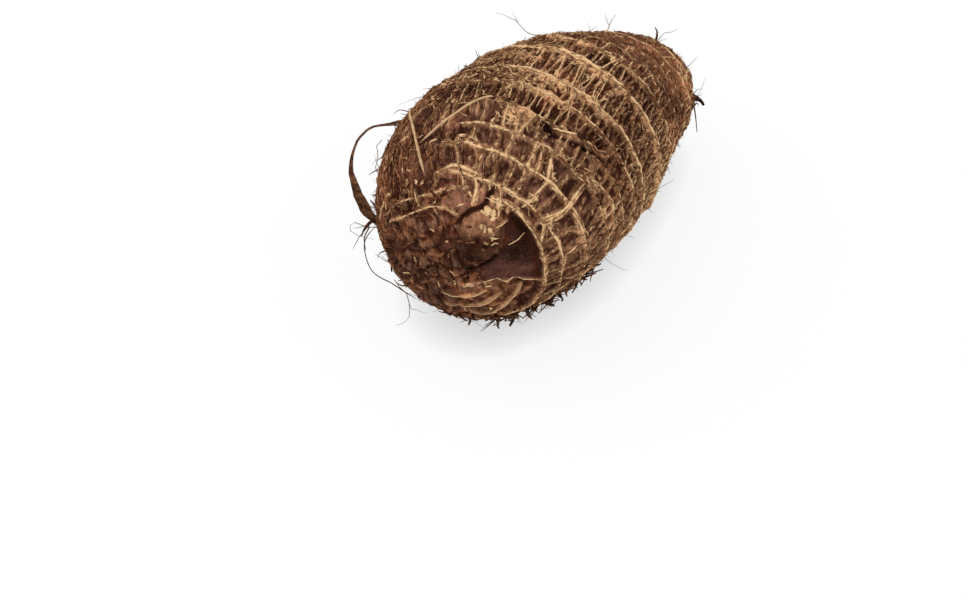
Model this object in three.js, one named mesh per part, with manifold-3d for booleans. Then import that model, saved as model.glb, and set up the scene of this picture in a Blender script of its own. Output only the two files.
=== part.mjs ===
// Elephant ear tuber: the corm of a taro-like plant, lying on its side as it would on a bench,
// with the dry leftovers that still hang on it: one curled ribbon of a leaf base, dead root
// strands and a scatter of root stubs.
//
// Millimetres, +Z up. The blunt crown, where the leaves grew, faces -Y. The narrow tail faces +Y.
// The origin is the middle of the footprint, on the surface that the tuber rests on.

import * as THREE from 'three';
import { mergeVertices } from 'three/addons/utils/BufferGeometryUtils.js';
import Module from 'manifold-3d';

// ---- Driving dimensions of the corm -----------------------------------------------------------

// The middle line of the corm bends a little sideways and sinks toward the thinner tail.
const CROWN_TIP = new THREE.Vector3(5.5, -57.5, 37);
const BEND_POINT = new THREE.Vector3(-7.5, -2, 34.5);
const TAIL_TIP = new THREE.Vector3(6, 58, 19);

// Fullness is the radius that the round outline would have at its middle: crown, belly, waist, tail.
const FULLNESS = [46.5, 33.5, 26, 26.5];

// Broad hollows of the body, and swellings where the depth is negative. The deepest two make the
// undercut below the crown's right side, where the old roots crowd.
const HOLLOWS = [
  { station: 0.18, reach: 0.085, angle: 308, spread: 26, depth: 4.2 },
  { station: 0.30, reach: 0.13, angle: 326, spread: 24, depth: 4.0 },
  { station: 0.52, reach: 0.16, angle: 338, spread: 20, depth: 1.2 },
  { station: 0.80, reach: 0.1, angle: 348, spread: 20, depth: 1.0 },
  { station: 0.50, reach: 0.15, angle: 138, spread: 18, depth: 0.7 },
  { station: 0.09, reach: 0.06, angle: 248, spread: 24, depth: -1.2 },
  { station: 0.92, reach: 0.08, angle: 60, spread: 45, depth: -1.3 },
];
// The hollows fade out over this share of the middle line at either tip.
const HOLLOW_FADE = 0.06;

// Leaf-scar rings, as shares of the middle line from the crown (0) to the tail (1).
const RINGS = [0.072, 0.093, 0.148, 0.211, 0.285, 0.354, 0.413, 0.541, 0.636, 0.715, 0.78, 0.84, 0.89, 0.935];
const LEDGE_HEIGHT = 0.6;
// The ring planes lean: highest toward the crown at LEAN_ANGLE round the corm. The crown ring stays square.
const RING_LEAN = 0.054;
const LEAN_ANGLE = 147;
const LEAN_STARTS = 0.05;
const LEAN_FULL = 0.28;
// Across one band between two rings: share of the band, and how much of the ledge still stands there.
const BAND_SHAPE = [[0, 1], [0.12, 0.35], [0.45, 0], [0.9, 0.1]];
const CROWN_ROWS = 9;
const TAIL_ROWS = 6;
const SIDES = 40;

// The dormant side bud on the crown face is a low dome.
const BUD = { station: 0.02, angle: 60, width: 10, height: 1.4 };

// The corm has settled on a small flattened patch.
const PATCH_DEPTH = 1.1;

// ---- Driving dimensions of what hangs on the corm ---------------------------------------------

// The gap that keeps each loose piece clear of the corm and of the others.
const GAP = 0.35;

// The leaf-base ribbon stands out from the side of the crown end in one open loop.
const RIBBON = { width: 2.6, thickness: 0.5, steps: 26 };
const RIBBON_ROUTE = [
  new THREE.Vector3(-30.9, -31.2, 50.8),
  new THREE.Vector3(-33.6, -33.6, 50.2),
  new THREE.Vector3(-36.1, -36.8, 48.9),
  new THREE.Vector3(-36.9, -41.0, 45.8),
  new THREE.Vector3(-35.3, -44.9, 41.6),
  new THREE.Vector3(-32.1, -47.8, 37.5),
  new THREE.Vector3(-28.4, -49.6, 33.9),
];

// Root strands lie on the skin: [station along the corm, angle round it, height over the skin].
const STRAND_SIDES = 6;
const STRANDS = [
  {
    name: 'root_strand_long',
    radius: 0.5,
    steps: 20,
    route: [
      [0.29, 149, 2.1], [0.24, 139, 1.8], [0.194, 132, 1.6],
      [0.155, 127.5, 1.6], [0.125, 124, 1.6], [0.078, 120, 1.4],
    ],
  },
  {
    name: 'root_strand_cross',
    radius: 0.5,
    steps: 14,
    route: [[0.144, 121, 1.9], [0.161, 113, 1.6], [0.199, 105.5, 1.5], [0.264, 97, 1.4]],
  },
  {
    name: 'root_strand_low',
    radius: 0.35,
    steps: 18,
    route: [
      [0.112, 192, 1.5], [0.107, 196.5, 3.6], [0.1, 202, 5.0],
      [0.089, 211, 5.4], [0.083, 220, 3.6], [0.077, 232, 1.7],
    ],
  },
];

// Root stubs stand on the skin: [station along the corm, angle round it, length, radius at the foot].
const STUB_SIDES = 8;
const ROOT_STUBS = [
  [0.089, -86, 3.4, 0.9],
  [0.086, -66, 4.0, 0.8],
  [0.095, -54, 3.8, 1.0],
  [0.104, -44, 4.4, 0.8],
  [0.118, -34, 4.2, 1.0],
  [0.142, -26, 3.8, 0.8],
  [0.12, 218, 3.6, 0.8],
  [0.165, 188, 5.0, 0.7],
  [0.42, 205, 3.2, 0.8],
  [0.6, 168, 3.0, 0.7],
  [0.936, 17, 3.6, 1.3],
];

// ---- Materials --------------------------------------------------------------------------------

const barkMaterial = new THREE.MeshStandardMaterial({ color: 0x5a4030, roughness: 0.85, metalness: 0 });
const ribbonMaterial = new THREE.MeshStandardMaterial({ color: 0x6b4426, roughness: 0.75, metalness: 0 });
const strandMaterial = new THREE.MeshStandardMaterial({ color: 0xc9a878, roughness: 0.8, metalness: 0 });
const stubMaterial = new THREE.MeshStandardMaterial({ color: 0x33221a, roughness: 0.9, metalness: 0 });

// ---- The corm's shape as a function of station and angle --------------------------------------

const middleLine = new THREE.QuadraticBezierCurve3(CROWN_TIP, BEND_POINT, TAIL_TIP);
const fullnessCurve = new THREE.CubicBezierCurve(...FULLNESS.map((radius, i) => new THREE.Vector2(i, radius)));

// How far a ring has moved along the corm at an angle round it, as a share of the middle line.
function ringLean(station, degrees) {
  const reach = THREE.MathUtils.smoothstep(station, LEAN_STARTS, LEAN_FULL);
  const fade = 1 - THREE.MathUtils.smoothstep(station, RINGS.at(-1), 1);
  return -RING_LEAN * reach * fade * Math.cos(THREE.MathUtils.degToRad(degrees - LEAN_ANGLE));
}

// Radius of the smooth body at a station: a half circle's rise and fall, times the fullness.
function bodyRadius(station) {
  return 2 * Math.sqrt(Math.max(0, station * (1 - station))) * fullnessCurve.getPoint(station).y;
}

// How far the skin lies below the smooth body, in mm.
function hollowAt(station, degrees) {
  const { smoothstep } = THREE.MathUtils;
  const fade = smoothstep(station, 0, HOLLOW_FADE) * (1 - smoothstep(station, 1 - HOLLOW_FADE, 1));
  return HOLLOWS.reduce((sum, hollow) => {
    const turn = THREE.MathUtils.euclideanModulo(degrees - hollow.angle + 180, 360) - 180;
    const along = (station - hollow.station) / hollow.reach;
    const around = turn / hollow.spread;
    return sum + fade * hollow.depth * Math.exp(-along * along - around * around);
  }, 0);
}

// The cross-section's own directions: sideways, upward, and along the corm toward the tail.
function sectionAt(station) {
  const along = middleLine.getTangent(station);
  const side = new THREE.Vector3().crossVectors(along, new THREE.Vector3(0, 0, 1)).normalize();
  const up = new THREE.Vector3().crossVectors(side, along);
  return { centre: middleLine.getPoint(station), side, up, along };
}

// The direction away from the middle line. Angle 0 points to +X and 90 degrees points up.
function outwardAt(station, degrees) {
  const { side, up } = sectionAt(station);
  const angle = THREE.MathUtils.degToRad(degrees);
  return side.multiplyScalar(Math.cos(angle)).addScaledVector(up, Math.sin(angle));
}

// A point at a height over the skin.
function overSkin(station, degrees, height) {
  const outward = outwardAt(station, degrees);
  const radius = bodyRadius(station) - hollowAt(station, degrees);
  return middleLine.getPoint(station).addScaledVector(outward, radius + height);
}

// The skin's normal, from two small steps across it.
function skinNormal(station, degrees) {
  const here = overSkin(station, degrees, 0);
  const along = overSkin(station + 0.002, degrees, 0).sub(here);
  const around = overSkin(station, degrees + 0.5, 0).sub(here);
  return along.cross(around).normalize();
}

// ---- The corm ---------------------------------------------------------------------------------

// Stations of the profile, each with the height of ledge that stands there.
function profileStations() {
  const first = RINGS[0];
  const last = RINGS.at(-1);
  const rows = [];
  for (let i = 0; i < CROWN_ROWS; i += 1) {
    rows.push([first * (i / CROWN_ROWS) ** 2, 0]);
  }
  for (let ring = 0; ring < RINGS.length - 1; ring += 1) {
    const gap = RINGS[ring + 1] - RINGS[ring];
    for (const [share, ledge] of BAND_SHAPE) {
      rows.push([RINGS[ring] + share * gap, ledge * LEDGE_HEIGHT]);
    }
  }
  for (let i = TAIL_ROWS; i >= 0; i -= 1) {
    rows.push([1 - (1 - last) * (i / TAIL_ROWS) ** 2, i === TAIL_ROWS ? LEDGE_HEIGHT : 0]);
  }
  return rows;
}

// A straight lathe body, with its axis measured in stations, is bent along the middle line.
// Before that its radius is one plus the ledge, so that each point knows its ledge and its angle.
function bentLathe() {
  const profile = profileStations().map(([station, ledge]) => (
    new THREE.Vector2(station > 0 && station < 1 ? 1 + ledge : 0, station)
  ));
  const geometry = new THREE.LatheGeometry(profile, SIDES);
  geometry.deleteAttribute('normal');
  geometry.deleteAttribute('uv');
  const merged = mergeVertices(geometry, 1e-5);
  const position = merged.attributes.position;
  const budCentre = overSkin(BUD.station, BUD.angle, 0);
  const budNormal = skinNormal(BUD.station, BUD.angle);
  for (let i = 0; i < position.count; i += 1) {
    const ledge = Math.max(0, Math.hypot(position.getX(i), position.getZ(i)) - 1);
    const degrees = THREE.MathUtils.radToDeg(Math.atan2(position.getZ(i), position.getX(i)));
    const station = position.getY(i);
    const point = overSkin(station + ringLean(station, degrees), degrees, ledge);
    const distance = point.distanceTo(budCentre) / BUD.width;
    point.addScaledVector(budNormal, BUD.height * Math.exp(-2 * distance * distance));
    position.setXYZ(i, point.x, point.y, point.z);
  }
  return merged;
}

// The tail-ward side of a lathe turned on its side can face inward, so the winding is checked.
function signedVolume(geometry) {
  const { position } = geometry.attributes;
  const index = geometry.index.array;
  const corner = [new THREE.Vector3(), new THREE.Vector3(), new THREE.Vector3()];
  let volume = 0;
  for (let i = 0; i < index.length; i += 3) {
    corner.forEach((vertex, k) => vertex.fromBufferAttribute(position, index[i + k]));
    volume += corner[0].dot(corner[1].clone().cross(corner[2])) / 6;
  }
  return volume;
}

function turnedOutward(geometry) {
  if (signedVolume(geometry) < 0) {
    const index = geometry.index.array;
    for (let i = 0; i < index.length; i += 3) {
      [index[i + 1], index[i + 2]] = [index[i + 2], index[i + 1]];
    }
  }
  return geometry;
}

const wasm = await Module();
wasm.setup();

function toSolid(geometry) {
  return new wasm.Manifold(new wasm.Mesh({
    numProp: 3,
    vertProperties: new Float32Array(geometry.attributes.position.array),
    triVerts: new Uint32Array(geometry.index.array),
  }));
}

function toGeometry(solid) {
  const mesh = solid.getMesh();
  const geometry = new THREE.BufferGeometry();
  geometry.setAttribute('position', new THREE.BufferAttribute(mesh.vertProperties, 3));
  geometry.setIndex(new THREE.BufferAttribute(mesh.triVerts, 1));
  return geometry;
}

// The bent body, cut level at the bottom so that it rests on a real flat patch.
function cormGeometry() {
  const body = turnedOutward(bentLathe());
  body.computeBoundingBox();
  const { min, max } = body.boundingBox;
  const ground = min.z + PATCH_DEPTH;
  const blockDepth = 20;
  const block = new THREE.BoxGeometry(2 * (max.x - min.x), 2 * (max.y - min.y), blockDepth);
  block.translate(0, 0, ground - blockDepth / 2);
  block.deleteAttribute('normal');
  block.deleteAttribute('uv');
  return { geometry: toGeometry(toSolid(body).subtract(toSolid(mergeVertices(block)))), ground };
}

// ---- What hangs on the corm -------------------------------------------------------------------

// A flat band swept along its route. Its ends are cut square.
function ribbonGeometry() {
  const section = new THREE.Shape();
  const halfWidth = RIBBON.width / 2;
  const halfThickness = RIBBON.thickness / 2;
  section.moveTo(-halfThickness, -halfWidth);
  section.lineTo(halfThickness, -halfWidth);
  section.lineTo(halfThickness, halfWidth);
  section.lineTo(-halfThickness, halfWidth);
  section.closePath();
  return new THREE.ExtrudeGeometry(section, {
    steps: RIBBON.steps,
    bevelEnabled: false,
    extrudePath: new THREE.CatmullRomCurve3(RIBBON_ROUTE),
  });
}

// A round strand swept along points that follow the skin.
function strandGeometry({ radius, steps, route }) {
  const section = new THREE.Shape();
  for (let i = 0; i < STRAND_SIDES; i += 1) {
    const angle = (i / STRAND_SIDES) * 2 * Math.PI;
    const point = [radius * Math.cos(angle), radius * Math.sin(angle)];
    if (i === 0) {
      section.moveTo(...point);
    } else {
      section.lineTo(...point);
    }
  }
  section.closePath();
  const points = route.map(([station, degrees, height]) => overSkin(station, degrees, height + radius));
  return new THREE.ExtrudeGeometry(section, {
    steps,
    bevelEnabled: false,
    extrudePath: new THREE.CatmullRomCurve3(points),
  });
}

// A stub tapers from its foot to a blunt broken tip.
function stubGeometry(length, radius) {
  const profile = [[0, 0], [radius, 0], [0.7 * radius, 0.4 * length], [0.4 * radius, 0.95 * length], [0, length]];
  return new THREE.LatheGeometry(profile.map(([x, y]) => new THREE.Vector2(x, y)), STUB_SIDES);
}

function stubMesh([station, degrees, length, radius], number) {
  const stub = new THREE.Mesh(stubGeometry(length, radius), stubMaterial);
  stub.name = `root_stub_${String(number).padStart(2, '0')}`;
  const normal = skinNormal(station, degrees);
  stub.quaternion.setFromUnitVectors(new THREE.Vector3(0, 1, 0), normal);
  stub.position.copy(overSkin(station, degrees, 0)).addScaledVector(normal, LEDGE_HEIGHT + GAP);
  return stub;
}

// ---- Assembly ---------------------------------------------------------------------------------

const tuber = new THREE.Group();

const { geometry: cormShape, ground } = cormGeometry();
const corm = new THREE.Mesh(cormShape, barkMaterial);
corm.name = 'corm';
tuber.add(corm);

const ribbon = new THREE.Mesh(ribbonGeometry(), ribbonMaterial);
ribbon.name = 'leaf_base_ribbon';
tuber.add(ribbon);

for (const strand of STRANDS) {
  const mesh = new THREE.Mesh(strandGeometry(strand), strandMaterial);
  mesh.name = strand.name;
  tuber.add(mesh);
}

ROOT_STUBS.forEach((stub, i) => tuber.add(stubMesh(stub, i + 1)));

// The origin goes to the middle of the footprint, on the ground.
const box = new THREE.Box3().setFromObject(tuber, true);
const middle = box.getCenter(new THREE.Vector3());
tuber.position.set(-middle.x, -middle.y, -ground);

const part = new THREE.Group();
part.add(tuber);

export default part;
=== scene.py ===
# %% [markdown]
# # An elephant ear tuber
#
# This lesson dresses one elephant ear tuber, the corm of a taro-like plant, with Blender's own tools.
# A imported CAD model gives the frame: the corm's body, the leaf-base ribbon and the loose roots, at
# their real size. Here the plain body gets its bark: leaf-scar rings, fibre rims, papery cells,
# scales, bristles and hairs. Everything is in metres, with +Z up and the crown facing -Y.

import math

import bmesh
import bpy
import numpy as np
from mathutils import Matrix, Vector, noise
from mathutils.bvhtree import BVHTree


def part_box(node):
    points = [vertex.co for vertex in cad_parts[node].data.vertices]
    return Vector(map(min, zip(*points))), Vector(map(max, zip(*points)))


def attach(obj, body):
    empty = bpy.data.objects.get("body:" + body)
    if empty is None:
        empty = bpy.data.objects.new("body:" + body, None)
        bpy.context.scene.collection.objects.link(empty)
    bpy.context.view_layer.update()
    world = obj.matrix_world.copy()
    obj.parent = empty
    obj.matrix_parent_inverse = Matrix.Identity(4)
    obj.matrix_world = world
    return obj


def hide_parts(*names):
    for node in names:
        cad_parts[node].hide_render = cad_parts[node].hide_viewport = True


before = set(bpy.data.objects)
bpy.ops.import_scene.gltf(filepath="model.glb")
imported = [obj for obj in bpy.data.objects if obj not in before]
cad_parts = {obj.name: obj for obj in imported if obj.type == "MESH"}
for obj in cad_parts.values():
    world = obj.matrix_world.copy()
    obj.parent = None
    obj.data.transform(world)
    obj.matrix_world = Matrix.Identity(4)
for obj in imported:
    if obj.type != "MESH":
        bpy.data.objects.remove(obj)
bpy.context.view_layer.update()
MM = 0.001
corm_low, corm_high = (np.array(corner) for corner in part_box("corm"))
print("corm measures", ((corm_high - corm_low) / MM).round(1), "mm")

# %% [markdown]
# ## The camera
#
# The tuber lies with its crown toward the viewer and its tail pointing away to the right. A long lens
# from well above keeps the perspective weak. The camera aims a little below and beside the tuber, so
# that the tuber sits above and to the right of the middle, and no lens shift is needed.

# %% Camera
AZIMUTH = math.radians(31.2)
ELEVATION = math.radians(41.5)
LENS = 100
SENSOR = 36
PICTURE_WIDTH = 0.2666
AIM_RIGHT = -0.0171
AIM_UP = -0.0433

toward_camera = Vector((
    math.sin(AZIMUTH) * math.cos(ELEVATION),
    -math.cos(AZIMUTH) * math.cos(ELEVATION),
    math.sin(ELEVATION),
))
picture_right = Vector((math.cos(AZIMUTH), math.sin(AZIMUTH), 0))
picture_up = toward_camera.cross(picture_right)
corm_middle = Vector((corm_low + corm_high) / 2)
aim = corm_middle + AIM_RIGHT * picture_right + AIM_UP * picture_up
distance = LENS * PICTURE_WIDTH / SENSOR

camera_data = bpy.data.cameras.new("camera")
camera_data.lens = LENS
camera_data.sensor_width = SENSOR
camera_data.clip_start = 0.05
camera = bpy.data.objects.new("camera", camera_data)
camera.location = corm_middle + distance * toward_camera
camera.rotation_mode = "QUATERNION"
camera.rotation_quaternion = (aim - camera.location).to_track_quat("-Z", "Y")
bpy.context.scene.collection.objects.link(camera)
bpy.context.scene.camera = camera
bpy.context.scene.view_settings.view_transform = "Standard"
print("camera stands", round(distance, 3), "m from the tuber")

# %% [markdown]
# ## Small helpers for shader nodes
#
# Every material is a small graph: attributes and noise on the left, the shader on the right. These
# helpers each make one node, set it up and hand back its output, so that a graph reads like a sum.

# %% Node helpers
def put(tree, socket, value):
    """Gives a socket a number or colour, or links another socket to it."""
    if isinstance(value, (int, float)):
        socket.default_value = value
    elif isinstance(value, tuple):
        socket.default_value = (*value, 1) if len(value) == 3 and socket.type == "RGBA" else value
    else:
        tree.links.new(value, socket)


def calculate(tree, operation, first, second=0.0):
    """A math node's output."""
    node = tree.nodes.new("ShaderNodeMath")
    node.operation = operation
    put(tree, node.inputs[0], first)
    put(tree, node.inputs[1], second)
    return node.outputs[0]


def put_all(tree, node, **values):
    """Gives several sockets of a node their values. A socket's name is written with _ for a space."""
    for name, value in values.items():
        put(tree, node.inputs[name.replace("_", " ")], value)


def rise(tree, value, start, end, low=0.0, high=1.0, kind="SMOOTHSTEP"):
    """A smooth or straight rise from low to high as value goes from start to end."""
    node = tree.nodes.new("ShaderNodeMapRange")
    node.interpolation_type = kind
    put_all(tree, node, Value=value, From_Min=start, From_Max=end, To_Min=low, To_Max=high)
    return node.outputs["Result"]


# %% A node helper for noise
def speckle(tree, vector, across, along, detail=3.0, roughness=0.55, distortion=0.0):
    """Noise with so many features a mm across and along the corm."""
    scaled = tree.nodes.new("ShaderNodeVectorMath")
    scaled.operation = "MULTIPLY"
    put(tree, scaled.inputs[0], vector)
    put(tree, scaled.inputs[1], (across / MM, across / MM, along / MM))
    node = tree.nodes.new("ShaderNodeTexNoise")
    put(tree, node.inputs["Vector"], scaled.outputs["Vector"])
    put_all(tree, node, Scale=1.0, Detail=detail, Roughness=roughness, Distortion=distortion)
    return node.outputs["Fac"]


# %% Node helpers for colours and attributes
def blend(tree, factor, first, second):
    """A mix of two colours, given as sockets or (r, g, b)."""
    node = tree.nodes.new("ShaderNodeMix")
    node.data_type = "RGBA"
    put(tree, node.inputs["Factor"], factor)
    put(tree, node.inputs[6], first)
    put(tree, node.inputs[7], second)
    return node.outputs[2]


def times(tree, colour, factor):
    """A colour made darker or lighter by a factor."""
    node = tree.nodes.new("ShaderNodeVectorMath")
    node.operation = "SCALE"
    put(tree, node.inputs[0], colour)
    put(tree, node.inputs["Scale"], factor)
    return node.outputs["Vector"]


def read(tree, name, output="Fac"):
    """A mesh attribute as a socket."""
    node = tree.nodes.new("ShaderNodeAttribute")
    node.attribute_name = name
    return node.outputs[output]

# %% [markdown]
# ## Light and floor
#
# The light is a plain soft studio: one broad lamp from the upper left, a weak fill, and a pale world.
# Their levels add up to about one on a sheet that faces them, so a colour renders about as written.
# The floor is a white sheet. For the camera it is lifted most of the way to plain white, so that it
# reads as a white background and still keeps the soft shadow that settles the tuber on it. The dark
# gap right under the tuber is deepened with ambient occlusion over a short reach.

# %% Lamps
def area_lamp(name, direction, reach, level, size):
    """A square soft lamp that lights a sheet facing it at about the given level."""
    data = bpy.data.lights.new(name, "AREA")
    data.energy = level * math.pi**2 * reach**2
    data.size = size
    lamp = bpy.data.objects.new(name, data)
    lamp.location = corm_middle + reach * direction.normalized()
    lamp.rotation_mode = "QUATERNION"
    lamp.rotation_quaternion = (corm_middle - lamp.location).to_track_quat("-Z", "Y")
    bpy.context.scene.collection.objects.link(lamp)
    print(name, "gives", round(data.energy, 2), "W")


from_upper_left = -0.6 * picture_right + 0.85 * picture_up + 0.7 * toward_camera
from_right = 0.9 * picture_right + 0.2 * picture_up + 0.9 * toward_camera
area_lamp("key_lamp", from_upper_left, reach=0.8, level=0.38, size=0.9)
area_lamp("fill_lamp", from_right, reach=0.9, level=0.1, size=0.8)


# %% What the camera sees
def seen_by_eye(tree):
    """1 for camera, glossy and transmission rays, 0 for the rays that carry light."""
    path = tree.nodes.new("ShaderNodeLightPath").outputs
    eye = calculate(tree, "MAXIMUM", path["Is Camera Ray"], path["Is Glossy Ray"])
    return calculate(tree, "MAXIMUM", eye, path["Is Transmission Ray"])


# %% World
WORLD_LEVEL = 0.75
world = bpy.data.worlds.new("studio")
bpy.context.scene.world = world
world.use_nodes = True
tree = world.node_tree
sky_level = rise(tree, seen_by_eye(tree), 0, 1, WORLD_LEVEL, 1, "LINEAR")
put_all(tree, tree.nodes["Background"], Color=(1, 1, 1), Strength=sky_level)
print("the world lights the tuber at level", WORLD_LEVEL)

# %% Floor
FLOOR_SIZE = 4.0
floor_mesh = bpy.data.meshes.new("floor")
bm = bmesh.new()
bmesh.ops.create_grid(bm, x_segments=1, y_segments=1, size=FLOOR_SIZE / 2)
bm.to_mesh(floor_mesh)
bm.free()
floor = bpy.data.objects.new("floor", floor_mesh)
bpy.context.scene.collection.objects.link(floor)
print("floor is", FLOOR_SIZE, "m wide")

# %% Material: white sheet
FLOOR_COLOUR = 0.14  # what the camera sees of the light on the sheet
FLOOR_LIFT = 0.86  # how much plain white is added to that
FLOOR_BOUNCE = 0.85  # what the sheet sends back up to the tuber
CONTACT_REACH = 0.012  # metres from the tuber in which the gap looks darker
CONTACT_DEPTH = 0.4
CONTACT_RAYS = 8
floor_material = bpy.data.materials.new("white_sheet")
floor_material.use_nodes = True
tree = floor_material.node_tree
eye = seen_by_eye(tree)
contact = tree.nodes.new("ShaderNodeAmbientOcclusion")
contact.samples = CONTACT_RAYS
put(tree, contact.inputs["Distance"], CONTACT_REACH)
shadow_lift = FLOOR_LIFT * (1 - CONTACT_DEPTH)
lift = rise(tree, contact.outputs["AO"], 0, 1, shadow_lift, FLOOR_LIFT, "LINEAR")
paper = tree.nodes["Principled BSDF"]
put_all(tree, paper, Roughness=0.9, Specular_IOR_Level=0.1, Emission_Color=(1, 1, 1))
put(tree, paper.inputs["Base Color"], rise(tree, eye, 0, 1, FLOOR_BOUNCE, FLOOR_COLOUR, "LINEAR"))
put(tree, paper.inputs["Emission Strength"], rise(tree, eye, 0, 1, 0.0, lift, "LINEAR"))
floor_mesh.materials.append(floor_material)

# %% [markdown]
# ## The corm's own coordinates
#
# A corm grows ring by ring along a middle line, so the handiest coordinates are its own: how far along
# the skin from the crown's centre, in millimetres, and the angle round the middle line, in degrees.
# The line and the fullness repeat the CAD's driving dimensions, measured from the corm's low corner.
# Angle 0 points to +X and 90 degrees points up.

# %% Dimensions of the body
CROWN_TIP = corm_low + np.array([39.8, 1.0, 36.4]) * MM
BEND_POINT = corm_low + np.array([26.8, 56.5, 33.9]) * MM
TAIL_TIP = corm_low + np.array([40.3, 116.5, 18.4]) * MM
FULLNESS = [46.5, 33.5, 26, 26.5]
RINGS = np.array([
    0.072, 0.093, 0.148, 0.211, 0.285, 0.354, 0.413, 0.541, 0.636, 0.715, 0.78, 0.84, 0.89, 0.935,
])
RING_LEAN = 0.054  # a share of the middle line, like the stations of the rings
LEAN_ANGLE = 147  # the degrees at which a ring reaches farthest toward the crown
LEAN_STARTS = 0.05
LEAN_FULL = 0.28
HOLLOWS = [
    # station, reach, degrees, spread, depth in mm
    (0.18, 0.085, 308, 26, 4.2), (0.30, 0.13, 326, 24, 4.0), (0.52, 0.16, 338, 20, 1.2),
    (0.80, 0.1, 348, 20, 1.0), (0.50, 0.15, 138, 18, 0.7), (0.09, 0.06, 248, 24, -1.2),
    (0.92, 0.08, 60, 45, -1.3),
]
HOLLOW_FADE = 0.06
print(len(RINGS), "leaf-scar rings and", len(HOLLOWS), "hollows")


# %% Small curves used everywhere
def smoothstep(x, start, end):
    """0 before start, 1 after end, and a smooth rise between."""
    y = np.clip((np.asarray(x, float) - start) / (end - start), 0, 1)
    return y * y * (3 - 2 * y)


def bell(x, width):
    """1 at zero, falling away smoothly over a width."""
    return np.exp(-((np.asarray(x, float) / width) ** 2))


def turn_from(degrees, centre):
    """Degrees from a centre angle, between -180 and 180."""
    return np.mod(np.asarray(degrees, float) - centre + 180, 360) - 180


# %% The smooth body
def body_radius(station):
    """Radius in mm of the smooth body at a share of the middle line."""
    t = np.clip(station, 0, 1)
    a, b, c, d = FULLNESS
    fullness = a * (1 - t) ** 3 + 3 * b * t * (1 - t) ** 2 + 3 * c * t**2 * (1 - t) + d * t**3
    return 2 * np.sqrt(t * (1 - t)) * fullness


def hollow_at(station, degrees):
    """How far in mm the skin lies below the smooth body, as in the CAD."""
    fade = smoothstep(station, 0, HOLLOW_FADE) * (1 - smoothstep(station, 1 - HOLLOW_FADE, 1))
    total = 0
    for centre, reach, angle, spread, depth in HOLLOWS:
        around = bell(turn_from(degrees, angle), spread)
        total = total + depth * bell((station - centre) / reach, 1) * around
    return fade * total


def middle_line(station):
    """Point, sideways, upward and tail-ward directions of the middle line."""
    t = np.asarray(station, float)[..., None]
    point = (1 - t) ** 2 * CROWN_TIP + 2 * t * (1 - t) * BEND_POINT + t**2 * TAIL_TIP
    along = 2 * (1 - t) * (BEND_POINT - CROWN_TIP) + 2 * t * (TAIL_TIP - BEND_POINT)
    along /= np.linalg.norm(along, axis=-1, keepdims=True)
    side = np.cross(along, [0.0, 0.0, 1.0])
    side /= np.linalg.norm(side, axis=-1, keepdims=True)
    return point, side, np.cross(side, along), along


def smooth_skin(station, degrees, lift=0.0):
    """Point over the smooth body's skin, in metres, with the lift in mm."""
    point, side, up, _ = middle_line(station)
    angle = np.radians(np.asarray(degrees, float))[..., None]
    radius = (body_radius(station) - hollow_at(station, degrees) + lift)[..., None] * MM
    return point + radius * (np.cos(angle) * side + np.sin(angle) * up)


# %% Distances along the skin
FINE = 4000
fine_station = (1 - np.cos(np.linspace(0, np.pi, FINE))) / 2
fine_point = middle_line(fine_station)[0] / MM
line_steps = np.linalg.norm(np.diff(fine_point, axis=0), axis=1)
skin_steps = np.hypot(line_steps, np.diff(body_radius(fine_station)))
fine_length = np.concatenate([[0], np.cumsum(skin_steps)])
SKIN_LENGTH = fine_length[-1]
print("skin is", round(SKIN_LENGTH, 1), "mm long from the crown's centre to the tail's")


def length_at(station):
    """Distance along the skin from the crown's centre, in mm."""
    return np.interp(station, fine_station, fine_length)


def station_at(length):
    """The share of the middle line at a distance along the skin."""
    return np.interp(length, fine_length, fine_station)


# %% Rings
def ring_length(ring, degrees):
    """Distance from the crown's centre to a leaning ring, at angles round the corm."""
    station = RINGS[ring]
    reach = smoothstep(station, LEAN_STARTS, LEAN_FULL) * (1 - smoothstep(station, RINGS[-1], 1))
    lean = -RING_LEAN * reach * np.cos(np.radians(np.asarray(degrees, float) - LEAN_ANGLE))
    detour = 0.011 * bell(turn_from(degrees, 0), 40) - 0.006 * bell(turn_from(degrees, 84), 36)
    return length_at(station + lean + detour * (ring == 1))


def ring_radius(length):
    """Radius in mm of the ring at a distance from the crown, never quite zero."""
    return np.maximum(body_radius(station_at(length)), 1.5)


def degrees_per_mm(length):
    """How many degrees one mm along a ring is, at a distance from the crown."""
    return np.degrees(1 / ring_radius(length))


print("one mm round the belly is", degrees_per_mm(60).round(2), "degrees")


# %% Routes over the skin
def smooth_route(points, sections):
    """Points of (station, degrees, height) joined by a smooth curve: lengths, degrees and heights."""
    knots = np.array(points, float)
    x = np.linspace(0, len(knots) - 1, sections)
    start = np.clip(np.floor(x), 0, len(knots) - 2).astype(int)
    u = (x - start)[:, None]
    slope = np.gradient(knots, axis=0)
    curve = (1 + 2 * u) * (1 - u) ** 2 * knots[start] + u * (1 - u) ** 2 * slope[start]
    curve += u**2 * (3 - 2 * u) * knots[start + 1] - u**2 * (1 - u) * slope[start + 1]
    return length_at(np.clip(curve[:, 0], 0, 1)), curve[:, 1], curve[:, -1]


def smooth_routes(routes, sections):
    """Rows of lengths, of degrees and of heights, one row a route."""
    rows = [smooth_route(route, sections) for route in routes]
    return [np.array([row[i] for row in rows]) for i in range(3)]


# %% [markdown]
# ## The relief of the bark
#
# The bark isn't smooth: every ring is a ledge where a leaf was attached, the bands between are
# wrinkled lengthwise and netted with fibre, and the crown face holds a side bud, cracks, torn leaf
# scars and a bald patch where the bark has come away. A sculptor would push these up and down by
# hand. Here the same moves are functions of length and angle, added up on a grid over the skin.

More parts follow.
